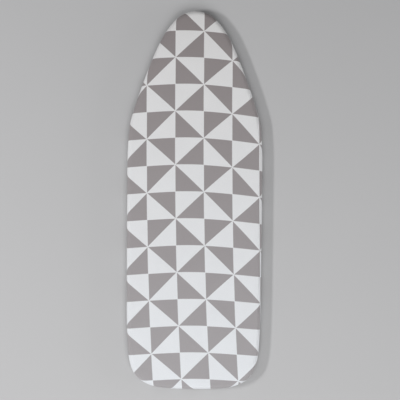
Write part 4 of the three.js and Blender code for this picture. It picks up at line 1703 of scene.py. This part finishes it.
class COVER_OT_stage(bpy.types.Operator):
    """Plain floor, soft light and the camera straight above"""

    bl_idname = "ironing_cover.stage"
    bl_label = "Stage"

    def execute(self, context):
        settings = context.scene.cover_stage
        floor = bpy.data.meshes.new("floor")
        corners = [(x * FLOOR_REACH, y * FLOOR_REACH, 0) for x, y in ((-1, -1), (1, -1), (1, 1), (-1, 1))]
        floor.from_pydata(corners, [], [(0, 1, 2, 3)])
        floor.materials.append(plain_floor(settings))
        ground = bpy.data.objects.new("floor", floor)
        context.scene.collection.objects.link(ground)
        self.world(context)
        self.lamp(context, "window_light", (-3.5, -0.3, 2.75), width=1.2, depth=0.35, power=88)
        self.lamp(context, "heel_light", (0.15, -1.7, 2.4), width=2.4, depth=2.4, power=48)
        self.lamp(context, "side_light", (3.6, -0.4, 0.75), width=2.6, depth=0.8, power=36)
        camera_data = bpy.data.cameras.new("camera")
        camera_data.sensor_width = SENSOR_WIDTH
        camera_data.lens = SENSOR_WIDTH * settings.camera_height / settings.frame_width
        camera_data.clip_end = CLIP_END
        camera = bpy.data.objects.new("camera", camera_data)
        camera.location = (settings.camera_x, settings.camera_y, settings.camera_height + TOP_Z)
        camera.rotation_euler = (0, 0, settings.camera_roll)
        context.scene.collection.objects.link(camera)
        context.scene.camera = camera
        context.scene.view_settings.view_transform = "Standard"
        return {"FINISHED"}

    def world(self, context):
        """Even white light, with the backdrop's colour where the camera, gloss and glass
        see past the floor."""
        world = bpy.data.worlds.new("studio")
        nodes = Nodes(world, "ShaderNodeOutputWorld")
        light = nodes.node("ShaderNodeBackground", sockets={0: (1, 1, 1), 1: WORLD_LIGHT})
        backdrop = nodes.node("ShaderNodeBackground", sockets={0: context.scene.cover_stage.backdrop_colour})
        nodes.show(nodes.blended(nodes.seen(), light, backdrop))
        context.scene.world = world

    def lamp(self, context, name, place, width, depth, power):
        """Area lamp that looks at the middle of the cover. Its width lies along the cover."""
        data = bpy.data.lights.new(name, "AREA")
        data.shape = "RECTANGLE"
        data.size, data.size_y, data.energy = width, depth, power
        lamp = bpy.data.objects.new(name, data)
        context.scene.collection.objects.link(lamp)
        lamp.location = place
        back = unit(np.array(place))
        along = unit((0, 1, 0) - back * back[1])
        matrix = np.column_stack((along, np.cross(back, along), back))
        lamp.rotation_euler = Matrix(matrix.tolist()).to_euler()


class COVER_PT_pieces(bpy.types.Panel):
    """The cover's pieces in the order they are made"""

    bl_idname = "COVER_PT_pieces"
    bl_label = "Ironing Board Cover"
    bl_space_type = "VIEW_3D"
    bl_region_type = "UI"
    bl_category = "Ironing Cover"

    def draw(self, context):
        for piece in PIECES:
            self.layout.operator(piece.bl_idname)
        for group in (context.scene.cover_cloth, context.scene.cover_hem, context.scene.cover_stage):
            box = self.layout.box()
            for setting in group.__annotations__:
                box.prop(group, setting)


PIECES = (
    COVER_OT_stage, COVER_OT_cloth, COVER_OT_pads, COVER_OT_casing, COVER_OT_hem_stitching,
    COVER_OT_tips, COVER_OT_drawcord, COVER_OT_lock, COVER_OT_straps, COVER_OT_tapes,
    COVER_OT_strap_stitching, COVER_OT_label,
)
CLASSES = (CoverClothSettings, PadAndHemSettings, StageSettings, *PIECES, COVER_PT_pieces)


def register():
    for each in CLASSES:
        bpy.utils.register_class(each)
    bpy.types.Scene.cover_cloth = bpy.props.PointerProperty(type=CoverClothSettings)
    bpy.types.Scene.cover_hem = bpy.props.PointerProperty(type=PadAndHemSettings)
    bpy.types.Scene.cover_stage = bpy.props.PointerProperty(type=StageSettings)


def unregister():
    del bpy.types.Scene.cover_stage
    del bpy.types.Scene.cover_hem
    del bpy.types.Scene.cover_cloth
    for each in reversed(CLASSES):
        bpy.utils.unregister_class(each)


def main():
    register()
    bpy.ops.ironing_cover.stage()
    bpy.ops.ironing_cover.cloth()
    bpy.ops.ironing_cover.pads()
    bpy.ops.ironing_cover.casing()
    bpy.ops.ironing_cover.hem_stitching()
    bpy.ops.ironing_cover.tips()
    bpy.ops.ironing_cover.drawcord()
    bpy.ops.ironing_cover.lock()
    bpy.ops.ironing_cover.straps()
    bpy.ops.ironing_cover.tapes()
    bpy.ops.ironing_cover.strap_stitching()
    bpy.ops.ironing_cover.label()


if __name__ == "__main__":
    main()
